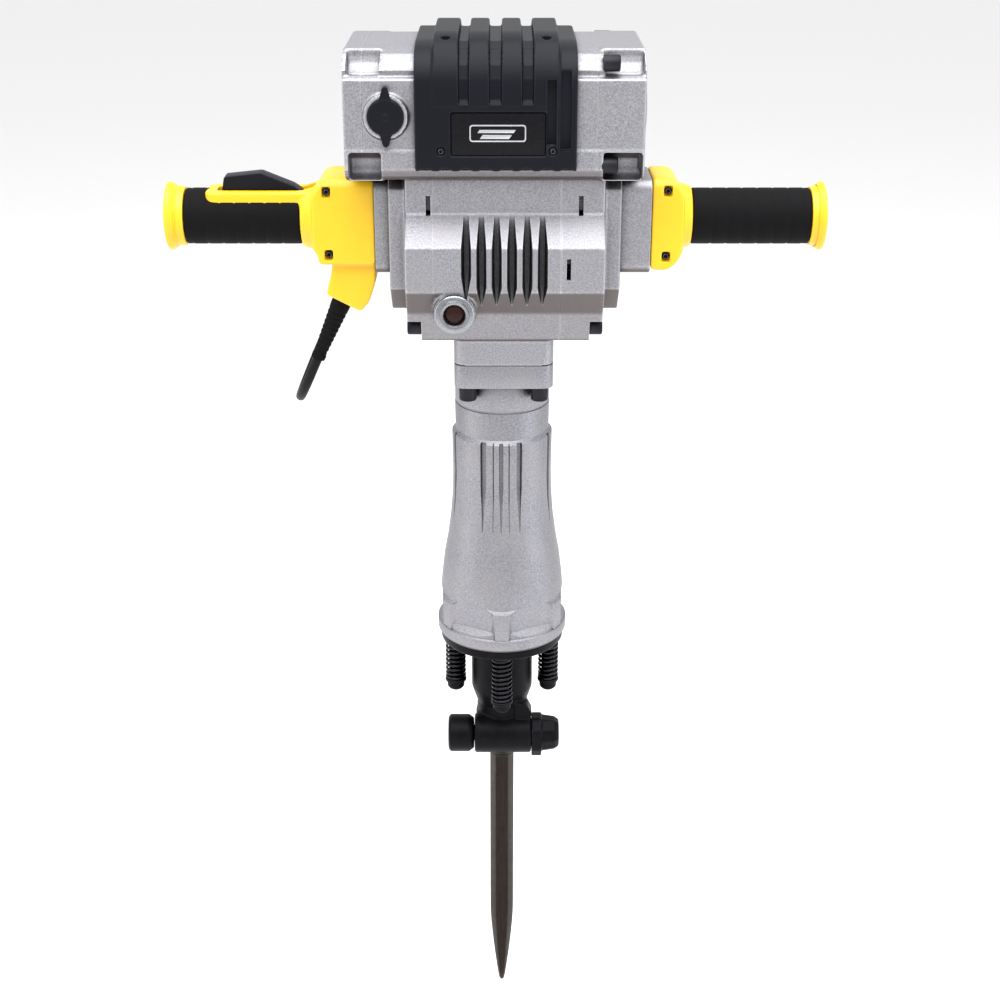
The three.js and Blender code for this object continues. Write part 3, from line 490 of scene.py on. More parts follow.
def publish(piece, material, body="body", replaces=()):
    """Gives a piece its finish, its body and the CAD nodes that it stands for."""
    if piece.type == "MESH":
        piece.data.shade_smooth()
        piece.data.set_sharp_from_angle(angle=math.radians(38))
    piece.data.materials.clear()
    piece.data.materials.append(material)
    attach(piece, body)
    if replaces:
        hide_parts(*replaces)
    return piece


def socket_bolt(name, axis, at, outer, inner, radius, body="body"):
    """A socket-head bolt: a round head from inner to outer along its axis, with a hexagon socket."""
    out = 1 if outer > inner else -1
    depth = abs(outer - inner)
    profile = [(0, inner), (radius, inner), (radius, outer - out), (radius - 1, outer), (0, outer)]
    head = made(name, turned(axis, profile, at, 24))
    low, high = sorted((outer + out * 2, outer - out * depth * 0.5))
    carve(head, prism(axis, hexagon(radius * 0.5, at), low, high))
    return publish(edged(head, 0.4, 2), BLACK_STEEL, body)


# ---------------------------------------------------------------- the lead, its route in metres
CORD_RADIUS = 0.00475
STRAIN_TOP = Vector((-0.156, 0, 0.811))
STRAIN_LENGTH = 0.063
LEAN = math.radians(24)
CORD_DOWN = Vector((-math.sin(LEAN), 0, -math.cos(LEAN)))
CORD_EXIT = STRAIN_TOP + CORD_DOWN * (STRAIN_LENGTH + 0.0003)
BEND = 0.042
STRAIGHT = 0.014
CORD_RISE = [
    (-0.178, 0.086, 0.760), (-0.165, 0.090, 0.782), (-0.148, 0.095, 0.806), (-0.126, 0.100, 0.821),
    (-0.106, 0.104, 0.829), (-0.090, 0.107, 0.838), (-0.080, 0.107, 0.850),
]
CORD_TAIL = [
    (0.062, 0.107, 0.902), (0.072, 0.107, 0.893), (0.0775, 0.107, 0.878), (0.078, 0.107, 0.864),
    (0.078, 0.107, 0.8503),
]
COIL = {"x": -0.008, "z": 0.868, "inner": 0.04225, "front": 0.09725, "layer": 0.0095}
# where each turn lies in the coil: (layer outwards, layer backwards)
COIL_PLACES = [(2, 1), (2, 0), (1, 0), (0, 0), (0, 1), (1, 1), (1, 2), (2, 2)]
COIL_TURNS = 7.389
STEPS_A_TURN = 24
PLUG_AT = (78, 107)


def eased(t):
    """From 0 to 1 as t is, but starting and stopping gently."""
    t = max(0.0, min(1.0, t))
    return t * t * (3 - 2 * t)


def coil_points():
    """The turns of the coil: each steps over to its next place a little earlier than the last did."""
    points = []
    for step in range(int(COIL_TURNS * STEPS_A_TURN) + 1):
        turn = step / STEPS_A_TURN
        out, back = COIL_PLACES[0]
        for k in range(1, len(COIL_PLACES)):
            share = eased((turn - 0.9 * k) / 0.1)
            out += (COIL_PLACES[k][0] - COIL_PLACES[k - 1][0]) * share
            back += (COIL_PLACES[k][1] - COIL_PLACES[k - 1][1]) * share
        out += 0.85 * (1 - eased(turn / 0.12)) + 1.05 * eased((turn - 7.03) / 0.2)
        back -= eased((turn - 7.2) / 0.18)
        radius = COIL["inner"] + COIL["layer"] * out
        angle = math.pi - 2 * math.pi * turn
        points.append((
            COIL["x"] + radius * math.cos(angle),
            COIL["front"] + COIL["layer"] * back,
            COIL["z"] + radius * math.sin(angle),
        ))
    return points


def lead_points():
    """The whole lead: straight out of its boot, round to the back, up, into the coil and to the plug."""
    points = [CORD_EXIT + CORD_DOWN * along for along in (0, STRAIGHT / 2, STRAIGHT)]
    for i in range(1, 10):
        angle = i * math.pi / 9
        ahead = CORD_EXIT + CORD_DOWN * (STRAIGHT + BEND * math.sin(angle))
        points.append(ahead + Vector((0, BEND * (1 - math.cos(angle)), 0)))
    return points + CORD_RISE + coil_points() + CORD_TAIL


def mains_lead():
    """The whole lead as one round cable along its route."""
    points = lead_points()
    curve = bpy.data.curves.new("mains_lead", "CURVE")
    curve.dimensions = "3D"
    curve.bevel_depth = CORD_RADIUS
    curve.bevel_resolution = 4
    curve.resolution_u = 4
    curve.use_fill_caps = True
    line = curve.splines.new("BEZIER")
    line.bezier_points.add(len(points) - 1)
    for knot, place in zip(line.bezier_points, points):
        knot.co = place
        knot.handle_left_type = knot.handle_right_type = "AUTO"
    lead = bpy.data.objects.new("mains_lead", curve)
    scene.collection.objects.link(lead)
    return publish(lead, SHEATH, replaces=("cord_run", "cord_coil", "cord_tail"))


def plug_piece():
    """A moulded two-pin plug, cable end up, with a ribbed waist and flats for the fingers."""
    at = PLUG_AT
    profile = rounded([
        (0, 798), (17, 798), (18.5, 804), (18.5, 814), (15, 819), (11, 832), (9, 838), (7, 848),
        (5.6, 850), (0, 850),
    ], 2.5, closed=False)
    body = made("plug_body", turned("z", profile, at, 48))
    flats = [
        block(at[0] - 30, at[0] + 30, at[1] + side * 14, at[1] + side * 30, 790, 836) for side in (-1, 1)
    ]
    grooves = [
        turned("z", [(8.4, z), (14, z), (14, z + 1.4), (8.4, z + 1.4)], at, 48) for z in (835, 839, 843)
    ]
    carve(body, *flats, *grooves)
    publish(cast(body, 0.7, 4), RUBBER, replaces=("plug",))
    pins = made("plug_pins", *[rod("z", 2.4, 780, 802, (at[0] + dx, at[1]), 24, 0.8) for dx in (-9.5, 9.5)])
    publish(pins, BRIGHT_STEEL)
    return body, pins


def strap_piece():
    """The rubber strap that ties the coil: a thin loop with rounded corners and a buttoned tab."""
    outline = pill(89.9, 123.4, 900, 938.8, 6)
    hole = pill(91.9, 121.4, 902, 936.8, 4.5)
    strap = made("coil_strap", prism("x", outline, -18, 2), prism("y", pill(-18, 2, 930, 952, 4), 89.9, 92.2))
    carve(strap, prism("x", hole, -20, 4))
    publish(edged(strap, 0.4, 2), RUBBER, replaces=("cord_strap",))
    button = rounded([(0, 86.9), (4.5, 87.1), (4.5, 89.4), (2, 89.9), (0, 89.9)], 1, closed=False)
    publish(made("strap_stud", turned("y", button, (-8, 946), 24)), RUBBER)


def cord_boot():
    """The boot that keeps the lead from kinking: a taper with rings, and a collar at its end."""
    length = STRAIN_LENGTH / MM
    profile = [(0, -length), (5.6, -length), (7.0, -length + 0.8), (7.2, -length + 5), (6.4, -length + 6)]
    rings = 9
    for i in range(rings):
        z = -length + 8 + i * 5.4
        radius = 6.5 + 2.9 * (i / rings)
        profile += [(radius, z), (radius - 0.35, z + 1.0), (radius - 0.35, z + 2.2), (radius + 0.2, z + 3.2)]
    profile += [(9.6, -3), (9.8, 14), (0, 14)]
    boot = made("cord_boot", turned("z", profile, (0, 0), 40))
    boot.data.transform(Matrix.Translation(STRAIN_TOP) @ Matrix.Rotation(LEAN, 4, "Y"))
    return publish(boot, RUBBER, replaces=("strain_relief",))


lead = mains_lead()
plug_body, plug_pins = plug_piece()
strap_piece()
boot = cord_boot()


# ---------------------------------------------------------------- castings
BRUSH_AT = (-103, 1005)


def cast_head():
    """The motor housing and its two end covers, cast as one and parted at their seams."""
    pockets = []
    for x0, x1 in ((-139, -106), (88, 126)):
        top = [(-70, 1035), (-70, 1039.5), (-66, 1041), (-60, 1047), (-58, 1054), (-58, 1060), (-52, 1060),
               (-52, 1044), (-64, 1035)]
        bottom = [(-76, 974), (-67, 965), (-65, 957), (-67, 951.5), (-71, 948.5), (-77, 947), (-77, 945.8),
                  (-62, 945.8), (-59, 956), (-68, 976)]
        pockets += [prism("x", section, x0, x1) for section in (top, bottom)]
        pockets += [flipped(prism("x", section, x0, x1)) for section in (top, bottom)]
    ring = [(16.8, -89.4), (20, -89.4), (20, -82), (16.8, -82)]
    rims = [turned("y", ring, BRUSH_AT, 64), flipped(turned("y", ring, BRUSH_AT, 64))]
    names = ("left_end_cover", "motor_housing", "right_end_cover")
    whole = cast(made("head", *[from_frame(name) for name in names], *pockets, *rims), 1.5, 3)
    pieces = parted(whole, (-200, -124.1), (-123.9, 83.9), (84.1, 200))
    for name, piece in zip(names, pieces):
        piece.name = name + "_casting"
        publish(piece, ALUMINIUM, replaces=(name,))
    for i, (y, z) in enumerate([(-77, 1050), (-79, 961), (77, 1050), (79, 961)]):
        socket_bolt(f"end_cover_bolt_{i + 1}", "x", (y, z), 103.5, 88.5, 7.4)


FIN_GROOVES = [2 + 14 * (i - 2.5) for i in range(6)]


def cast_crankcase():
    """The crankcase's middle and its two flanks: V grooves front and back, slots, corners and bolts."""
    front = [(-59, 914), (-62, 913), (-88, 886), (-88, 845), (-70, 820), (-59, 812)]
    fills = [prism("x", front, -43, 47), flipped(prism("x", front, -43, 47))]
    names = ("crankcase_left_cover", "crankcase", "gear_cover")
    whole = cast(made("case", *[from_frame(name) for name in names], *fills), 1.3, 4)
    cuts = []
    for side in (-1, 1):
        for i, x in enumerate(FIN_GROOVES):
            # the first groove in front ends above the oil gauge
            low = 836 if i == 0 and side < 0 else 826
            fine = [(x - 0.9, -96), (x + 0.9, -96), (x + 0.4, -80), (x - 0.4, -80)]
            wide = [(x - 5.6, -96), (x + 5.6, -96), (x + 2.2, -64), (x - 2.2, -64)]
            groove = loft("z", (low, fine), (low + 24, wide), (930, wide))
            cuts.append(groove if side < 0 else flipped(groove))
        y0, y1 = sorted((side * 57, side * 70))
        cuts += [block(-70, -65.6, y0, y1, 911, 929), block(70, 74.4, y0, y1, 911, 929)]
        y0, y1 = sorted((side * 82, side * 92))
        cuts.append(block(58.8, 62.8, y0, y1, 857, 877))
        y0, y1 = sorted((side * 34, side * 80))
        cuts += [block(-94, -76, y0, y1, 785, 811), block(82, 99, y0, y1, 785, 811)]
        place = "front" if side < 0 else "rear"
        socket_bolt("left_flank_bolt_" + place, "x", (side * 53, 802), -89.5, -76.5, 7.2)
        socket_bolt("right_flank_bolt_" + place, "x", (side * 53, 802), 94.5, 82.5, 7.2)
    carve(whole, *cuts)
    pieces = parted(whole, (-200, -64.1), (-63.9, 53.9), (54.1, 200))
    for name, piece in zip(names, pieces):
        piece.name = name + "_casting"
        publish(piece, ALUMINIUM, replaces=(name,))
    for i, (x, y) in enumerate([(-33, -45), (36, -45), (-33, 45), (36, 45)]):
        socket_bolt(f"neck_bolt_{i + 1}", "z", (x, y), 726.5, 740.7, 8.5)


def cast_brackets():
    """The two brackets that carry the handles. The left one ends inside the deep yellow housing."""
    for side in ("left", "right"):
        bracket = cast(made(side + "_bracket_casting", from_frame(side + "_handle_bracket")), 1.2, 5)
        if side == "left":
            carve(bracket, block(-140, -119.1, -60, 60, 800, 1000))
        publish(bracket, ALUMINIUM, replaces=(side + "_handle_bracket",))
    socket_bolt("right_bracket_bolt", "z", (124, -24), 942.5, 936, 5.2)
    socket_bolt("left_bracket_bolt", "z", (-115, -24), 942.5, 936, 5.2)


# ---------------------------------------------------------------- hammer case
# each flute's lean from its quarter's middle, in degrees, and its half width and depth
FLUTES = [(-22, 5.6, 3.6), (-1, 3.8, 3.0), (20, 5.2, 3.6), (-10, 1.0, 1.8), (8, 1.0, 1.8)]


def hammer_case_casting():
    """A square flange on a sleeve that swells to a wide mouth: flutes above, six flats and ribs below."""
    outside = [
        (44, 750), (44, 741), (46.6, 740), (46.6, 713.2), (45.8, 712.8), (45.8, 711.4), (46.8, 711),
        (46.4, 683.6), (49.9, 679.6), (49.4, 640), (49.9, 615), (51.9, 590), (55, 567), (59, 545),
        (61.4, 525), (63.2, 507), (63.8, 490), (64.2, 474), (66.6, 473), (66.6, 463), (65.2, 460.6),
    ]
    throat = 38.3
    bore = [(50, 460.6), (50, 530), (44.5, 536), (44.5, 556), (throat, 559), (throat, 750)]
    case = made("hammer_case_casting", turned("z", outside + bore, segments=160))
    cuts = []
    for turn in range(0, 360, 60):
        flat = [(-58, 481.2), (-66.9, 473), (-80, 473), (-80, 514), (-61.6, 509)]
        cuts.append(swung(prism("x", flat, -34.4, 34.4), turn + 30))
    for quarter in range(0, 360, 90):
        for lean, width, depth in FLUTES:
            wide = [(-width, -70), (width, -70), (width * 0.45, depth - 49.5), (-width * 0.45, depth - 49.5)]
            fine = [(-1.2, -70), (1.2, -70), (0.3, -51.6), (-0.3, -51.6)]
            flute = loft("z", (588, fine), (632, wide), (681.5, wide))
            cuts.append(swung(flute, quarter + lean))
    carve(case, *cuts)
    flange = made("flange", prism("z", pill(-46, 49, -56, 56, 13), 741, 763.7))
    carve(flange, rod("z", throat, 730, 770, segments=96))
    joined(case, flange)
    for turn in range(0, 360, 60):
        low = [(-13, -56), (13, -56), (6.8, -65.8), (-6.8, -65.8)]
        mid = [(-14, -58), (14, -58), (7.4, -66.0), (-7.4, -66.0)]
        high = [(-16, -58), (16, -58), (15.6, -61.4), (-15.6, -61.4)]
        joined(case, made("rib", swung(loft("z", (471, low), (502.5, mid), (507.5, high)), turn)))
    publish(edged(case, 0.3, 2, 30), SLEEVE_ALUMINIUM, replaces=("hammer_case",))


# ---------------------------------------------------------------- motor cover
COVER = {"left": -77.5, "right": 66, "bottom": 957.5, "top": 1066, "half": 92}
PANEL = (-61, 50)
RIBS = [(-61, -39), (-29, -12), (0, 17), (28, 50)]
COVER_VENTS = [(39.5, 47.5, 980, 1038), (51.5, 60.5, 976, 1045)]
BADGE = {"left": -46, "right": 39, "bottom": 971, "top": 1010}


def saddle(rise, bottom):
    """The cover's section: two upright sides that slope in to a flat top, all rounded but the feet."""
    front = [
        (-COVER["half"] - 0.2 * rise, bottom), (-COVER["half"] - 0.2 * rise, 1038),
        (-86, 1051 + 0.5 * rise), (-70, 1062 + 0.9 * rise), (-50, COVER["top"] + rise),
    ]
    return rounded(front + [(-y, z) for y, z in reversed(front)], 9, closed=False)


def motor_cover_moulding():
    """The black saddle over the motor: four ribs, scooped grooves, vents, recesses and scallops.

    A dark sheet stands behind the vents in front as painted shade, for the dark inside of the housing."""
    left, right, bottom = COVER["left"], COVER["right"], COVER["bottom"]
    base = prism("x", saddle(0, bottom), left, right)
    ribs = [prism("x", saddle(7, 1015), x0, x1) for x0, x1 in RIBS]
    panel = prism("x", saddle(3.5, bottom + 1), *PANEL)
    cover = made("motor_cover_moulding", base, *ribs, panel)
    cover = cast(cover, 1.2, 0)
    inside = [(-50, 1059.6), (-67, 1056.4), (-78, 1049.8), (-86.6, 1040), (-86.6, bottom - 9)]
    inside += [(-y, z) for y, z in reversed(inside)]
    cuts = [prism("x", inside, left - 5, right + 5)]
    for (_, x0), (x1, _) in zip(RIBS, RIBS[1:]):
        for side in (-1, 1):
            groove = [(-110, 1014.5), (-94.4, 1014.5), (-88.9, 1020), (-88.9, 1037), (-84, 1049.5),
                      (-69.5, 1060.8), (-50, 1065.2), (0, 1065.2), (0, 1090), (-110, 1090)]
            groove = prism("x", groove, x0 + 0.3, x1 - 0.3)
            cuts.append(groove if side < 0 else flipped(groove))
    for x0, x1, z0, z1 in COVER_VENTS:
        cuts.append(prism("y", pill(x0, x1, z0, z1, 1.5), -120, -80))
        cuts.append(prism("y", pill(x0, x1, z0, z1, 1.5), 89, 120))
    for side in (-1, 1):
        y0, y1 = sorted((side * 120, side * 90.4))
        cuts.append(prism("y", pill(BADGE["left"], BADGE["right"], BADGE["bottom"], BADGE["top"], 2), y0, y1))
        for x in (-54.5, 44.8):
            cuts.append(rod("y", 4.2, *sorted((side * 120, side * 90.8)), (x, 975.5), 24))
        for x in (-50, 39):
            cuts.append(rod("z", 4.2, 1066, 1090, (x, side * 62), 24))
        for i in range(8):
            x = left + 9 + i * 18
            cuts.append(rod("y", 8.4, *sorted((side * 88.5, side * 120)), (x, bottom - 5.6), 32))
    carve(cover, *cuts)
    publish(cast(cover, 1.0, 2), NYLON, replaces=("motor_cover",))
    # painted shade: a black sheet behind the front vents, so that they read as dark holes
    publish(made("vent_shade_sheet", block(36, 63, -78.7, -77.9, 974, 1047)), NYLON)
    for i, (x, side) in enumerate([(-54.5, -1), (44.8, -1), (-54.5, 1), (44.8, 1)]):
        socket_bolt(f"cover_screw_{i + 1}", "y", (x, 975.5), side * 92.6, side * 89, 3.2)


def badge():
    """A gloss-black plate with a raised metal border and two plain bars."""
    x0, x1, z0, z1 = (BADGE[key] for key in ("left", "right", "bottom", "top"))
    face = pill(x0 + 1.2, x1 - 1.2, z0 + 1.2, z1 - 1.2, 2.5)
    plate = made("badge_plate_lacquered", prism("y", face, -91.9, -90.4))
    publish(edged(plate, 0.3, 2), LACQUER, replaces=("badge_plate",))
    border = made("badge_border", prism("y", pill(x0 + 17, x1 - 18, z0 + 13, z1 - 11, 3), -92.3, -91.5))
    carve(border, prism("y", pill(x0 + 18.2, x1 - 19.2, z0 + 14.2, z1 - 12.2, 2.2), -95, -90))
    lower = [(-20, 986.6), (6, 986.6), (8.6, 990.2), (-17.4, 990.2)]
    upper = [(-22, 991.8), (10, 991.8), (12, 994.6), (-20, 994.6)]
    joined(border, made("bars", *[prism("y", bar, -92.2, -91.5) for bar in (lower, upper)]))
    publish(edged(border, 0.15, 2), PRINT)


# ---------------------------------------------------------------- brush caps and oil gauge
def brush_cap(place, side):
    """A black cap with two pointed ears for a tool to turn it."""
    x, z = BRUSH_AT
    face, top = side * 88.0, side * 91.2
    edge = rounded([(0, face), (16.2, face), (16.2, top - side), (15, top), (0, top)], 0.8, closed=False)
    disc = turned("y", edge, (x, z), 64)
    ear = [(0, 27), (2.4, 25), (6, 13), (6, -13), (2.6, -25), (0, -27), (-2.6, -25), (-6, -13),
           (-6, 13), (-2.4, 25)]
    ears = prism("y", [(x + u, z + v) for u, v in ear], *sorted((side * 86, side * 90.6)))
    hub = rod("y", 3.2, *sorted((face, side * 91.9)), (x, z), 24, 0.5)
    stem = rod("y", 11.5, *sorted((side * 62, face)), (x, z), 32)
    cap = made("brush_cap_moulding_" + place, disc, ears, hub, stem)
    publish(cast(cap, 0.6, 2), NYLON, replaces=("brush_cap_" + place,))


def oil_gauge():
    """A knurled bright ring with a stepped mouth, round a dark red-brown window."""
    at = (-44, 825)
    y = -87.5
    profile = [(9.3, y + 9), (9.3, y - 4.2), (10.6, y - 6.6), (13.2, y - 7), (14, y - 5.2), (16.4, y - 5),
               (18.2, y - 3.8), (18.2, y - 0.3), (10, y - 0.3), (10, y + 9)]
    ring = made("gauge_ring_turned", turned("y", profile, at, 96))
    notches = []
    for i in range(36):
        a = i * math.pi / 18
        x, z = at[0] + 18.6 * math.cos(a), at[1] + 18.6 * math.sin(a)
        notches.append(rod("y", 0.8, y - 8, y + 0.5, (x, z), 6))
    carve(ring, *notches)
    publish(edged(ring, 0.25, 2), BRIGHT_STEEL, replaces=("oil_gauge_ring",))
    dome = rounded([(0, y + 16), (8.8, y + 16), (8.8, y - 2.6), (6, y - 3.6), (0, y - 4)], 1.2, closed=False)
    publish(made("gauge_window", turned("y", dome, at, 48)), SIGHT_GLASS, replaces=("oil_gauge_glass",))


# ---------------------------------------------------------------- handles
GRIP_AT = (0, 896)
HANDLE_SECTION = [(-35.5, 800), (35.5, 800), (35.5, 938.5), (-35.5, 938.5)]


def handle_screws(side_name, shell, spots):
    """Pockets for the handle's screws on both faces, with a screw in each."""
    cuts = []
    for side in (-1, 1):
        for x, z in spots:
            cuts.append(prism("y", pill(x - 4, x + 4, z - 5, z + 5, 1), *sorted((side * 50, side * 30))))
            place = ("front" if side < 0 else "rear") + ("_upper" if z > 900 else "_lower")
            socket_bolt(side_name + "_screw_" + place, "y", (x, z), side * 33.4, side * 29, 3.6)
    return carve(shell, *cuts)


def left_handle():
    """Two yellow half shells: a deep housing, a collar, the rails beside the trigger and the snout."""
    housing = rounded([
        (-119.4, 857), (-119.4, 938.5), (-161, 938.5), (-169, 935), (-174, 927), (-178, 920), (-178, 871),
        (-173.5, 866), (-173, 857),
    ], 4)
    snout = rounded([
        (-161, 864), (-119.4, 864), (-120.4, 838), (-127, 818), (-135.5, 808.5), (-168, 825.5), (-162, 848),
    ], 3)
    collar = rounded([(0, -170), (34, -170), (31.5, -180), (28.6, -190), (0, -190)], 2, closed=False)
    body = made("left_shell", prism("y", housing, -35.5, 35.5))
    carve(body, prism("x", rounded(HANDLE_SECTION, 13), -200, -100), operation="INTERSECT")
    rest = made(
        "rest", prism("y", snout, -27, 27), turned("x", collar, GRIP_AT, 96),
        rod("x", 20, -306, -188, GRIP_AT, 48), prism("z", pill(-279.5, -176, -20, 20, 9), 897, 922.5),
    )
    shell = cast(joined(body, rest), 1.2, 8)
    carve(shell, prism("z", pill(-269, -176, -10, 10, 3), 908, 960))
    handle_screws("left_shell", shell, ((-163.5, 926), (-163, 866.5)))
    for place, side in (("front", -1), ("rear", 1)):
        half = bpy.data.objects.new(f"left_{place}_shell_moulding", shell.data.copy())
        scene.collection.objects.link(half)
        carve(half, block(-400, 0, *sorted((-side * 0.1, -side * 90)), 700, 1100))
        publish(cast(half, 0.9, 2), YELLOW, replaces=(f"left_handle_{place}_shell",))
    bpy.data.objects.remove(shell)


def right_handle():
    """The right handle's one moulding: a deep base that flares in to the grip."""
    base = rounded([
        (139.8, 852), (139.8, 938.5), (154, 938.5), (162, 935), (167, 927), (170, 921), (170, 870),
        (165.5, 860), (157, 852),
    ], 4)
    body = made("right_handle_moulding", prism("y", base, -35.5, 35.5))
    carve(body, prism("x", rounded(HANDLE_SECTION, 13), 100, 200), operation="INTERSECT")
    collar = rounded([(0, 162), (33.5, 162), (31, 170), (28.4, 179), (0, 179)], 2, closed=False)
    rest = made("rest", turned("x", collar, GRIP_AT, 96), rod("x", 20, 176, 296, GRIP_AT, 48))
    handle = cast(joined(body, rest), 1.2, 8)
    handle_screws("right_handle", handle, ((154, 927), (154, 865)))
    publish(cast(handle, 0.9, 2), YELLOW, replaces=("right_handle",))


def grip_sleeve(name, start, end, cuts=()):
    """A rubber sleeve with shallow finger ridges and fine rings between them."""
    out = 1 if end > start else -1
    length = abs(end - start)
    profile = [(20.2, start), (25.2, start), (26.3, start + out * 1.2)]
    ridges = 7
    for i in range(ridges):
        a = start + out * (5 + i * (length - 10) / ridges)
        b = start + out * (5 + (i + 1) * (length - 10) / ridges)
        profile += [(26.4, a + (b - a) * 0.08), (26.4, a + (b - a) * 0.86), (26.0, a + (b - a) * 0.92),
                    (26.0, a + (b - a) * 0.98)]
    profile += [(26.3, end - out * 1.2), (25.2, end), (20.2, end)]
    sleeve = made(name + "_sleeve", turned("x", profile, GRIP_AT, 96))
    carve(sleeve, *cuts)
    return publish(edged(sleeve, 0.35, 2, 25), RUBBER, replaces=(name,))


def end_flange(name, inner, outer):
    """A yellow end flange: a step against the grip and a lip that flares to the outer edge."""
    out = 1 if outer > inner else -1
    profile = rounded([
        (0, inner + out * 0.6), (27.6, inner + out * 0.6), (28.4, inner + out * 7), (27.2, inner + out * 8.6),
        (29.6, outer - out * 8), (32.3, outer - out * 3.6), (32.3, outer - out * 1.2), (29.6, outer),
        (0, outer),
    ], 1.3, closed=False)
    flange = made(name + "_moulding", turned("x", profile, GRIP_AT, 96))
    proud, sunk = outer + out * 4, outer - out * 1.6
    dish = rounded([(9, proud), (24, proud), (24, sunk), (9, sunk)], 0.6)
    carve(flange, turned("x", dish, GRIP_AT, 96))
    return publish(flange, YELLOW, replaces=(name,))


def trigger_lever():
    """The long paddle trigger, hinged at its inner end, with ridges for the fingers."""
    outline = rounded([
        (-264.5, 920), (-261.5, 935), (-227, 938.6), (-197, 926.5), (-189, 921), (-187.5, 917), (-192, 913.5),
        (-199, 914.5),
    ], 2.2)
    lever = made("trigger_moulding", prism("y", outline, -8.8, 8.8))
    carve(lever, *[rod("y", 1.0, -12, 12, (-253 + 5 * i, 937.0 + 0.5 * i), 12) for i in range(5)])
    publish(edged(lever, 0.9, 3), NYLON, "trigger", replaces=("trigger",))


# ---------------------------------------------------------------- tool holder
STOPPER_AT = (-20, 340)
SPRING_SPOTS = [(49, 0), (0, 49), (-49, 0), (0, -49)]


def front_cover_forging():
    """The black tool holder: a sprung flange, a drum that necks in, and the stopper's barrel across it."""
    profile = [
        (0, 316), (24.6, 316), (27.2, 319), (27.6, 358), (26.4, 362), (26.2, 372), (31.4, 387.5), (32, 390),
        (32, 449), (34, 450), (62.2, 450), (63.5, 451.3), (63.5, 460.3), (49.4, 460.3), (49.4, 500), (0, 500),
    ]
    cover = made("front_cover_forging", turned("z", profile, segments=96))
    side = [(0, -29), (19.5, -29), (21, -27.5), (21, 29.5), (19.5, 31), (0, 31)]
    barrel = turned("x", side, STOPPER_AT, 64)
    lug = prism("y", rounded([(14, 355), (29, 359), (32, 366), (27, 376), (14, 380)], 2), -26, -8)
    cast(joined(cover, made("barrel", barrel, lug)), 0.95, 4)
    cuts = [
        prism("z", hexagon(17.8), 310, 430), rod("z", 17.8, 300, 328, segments=48),
        rod("z", 15.6, 380, 470, segments=48), rod("z", 25, 448, 510, segments=48),
        rod("x", 8.4, -60, 60, STOPPER_AT, 32),
    ]
    cuts += [rod("z", 6.4, 440, 505, place, 24) for place in SPRING_SPOTS]
    publish(carve(cover, *cuts), BLACK_STEEL, "front_cover", replaces=("front_cover",))


def sprung_bolt(number, x, y):
    """A cushion spring on its bolt, with the washer and the domed head that hold it."""
    head = rounded([(0, 384), (6.2, 384), (9.0, 387), (9.2, 392), (9.2, 393.4), (11.2, 394), (11.2, 397.4),
                    (7.2, 397.5), (7.2, 440.5), (5.4, 442), (5.4, 470), (0, 470)], 1.2, closed=False)
    publish(made(f"spring_bolt_{number}_turned", turned("z", head, (x, y), 40)), BLACK_STEEL,
            replaces=(f"spring_bolt_{number}",))
    turns, wire, reach = 11, 1.5, 9.4
    low, high = 397.8 + wire, 449.7 - wire
    curve = bpy.data.curves.new("spring", "CURVE")
    curve.dimensions = "3D"
    curve.bevel_depth = wire * MM
    curve.bevel_resolution = 3
    curve.use_fill_caps = True
    line = curve.splines.new("POLY")
    steps = turns * 24
    line.points.add(steps)
    for i, knot in enumerate(line.points):
        a = i * 2 * math.pi / 24
        # the end turns lie flat, as a ground spring's do
        share = min(max((i - 18) / (steps - 36), 0), 1)
        z = low + (high - low) * share
        knot.co = ((x + reach * math.cos(a)) * MM, (y + reach * math.sin(a)) * MM, z * MM, 1)
    coil = bpy.data.objects.new("spring", curve)
    scene.collection.objects.link(coil)
    bpy.context.view_layer.update()
    mesh = bpy.data.meshes.new_from_object(coil.evaluated_get(bpy.context.evaluated_depsgraph_get()))
    bpy.data.objects.remove(coil)
    spring = bpy.data.objects.new(f"cushion_spring_{number}_wire", mesh)
    scene.collection.objects.link(spring)
    publish(spring, SPRING_STEEL, replaces=(f"cushion_spring_{number}",))
    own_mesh(spring)


def stopper():
    """The stopper: a round head on its shaft, and an eight-sided lever with a thumb lug at its end."""
    y, z = STOPPER_AT
    knob = rounded([(0, -57), (17, -57), (20, -54.5), (20, -35), (16, -29.6), (8, -29.6), (8, 55), (0, 55)],
                   1.4, closed=False)
    shaft = made("stopper_shaft_turned", turned("x", knob, STOPPER_AT, 72))
    carve(shaft, block(-24, 24, y - 20, y - 4.6, z - 12, z + 12))
    publish(edged(shaft, 0.3, 2, 50), BLACK_STEEL, "stopper", replaces=("stopper_shaft",))
    hub = turned("x", rounded([(8.3, 31.4), (19.4, 31.4), (19.8, 44), (18, 56), (14.5, 60.6), (0, 61),
                               (0, 55.3), (8.3, 55.3)], 1.5, closed=False), STOPPER_AT, 10)
    arm = prism("x", rounded([(y + 4, z - 14), (y + 32, z - 19), (y + 37.5, z - 14), (y + 37.5, z - 7),
                              (y + 6, z + 10)], 4), 41, 57)
    plate = rounded([(y - 20, z - 10), (y - 13, z - 21.5), (y + 10, z - 21.5), (y + 20, z - 8),
                     (y + 19, z + 11), (y + 8, z + 21), (y - 8, z + 21), (y - 19, z + 11)], 3)
    lever = made("stopper_lever_forging", hub, arm, prism("x", plate, 31.4, 42))
    cast(lever, 0.8, 5)
    carve(lever, rod("x", 8.2, 20, 55.2, STOPPER_AT, 32))
    publish(lever, BLACK_STEEL, "stopper", replaces=("stopper_lever",))


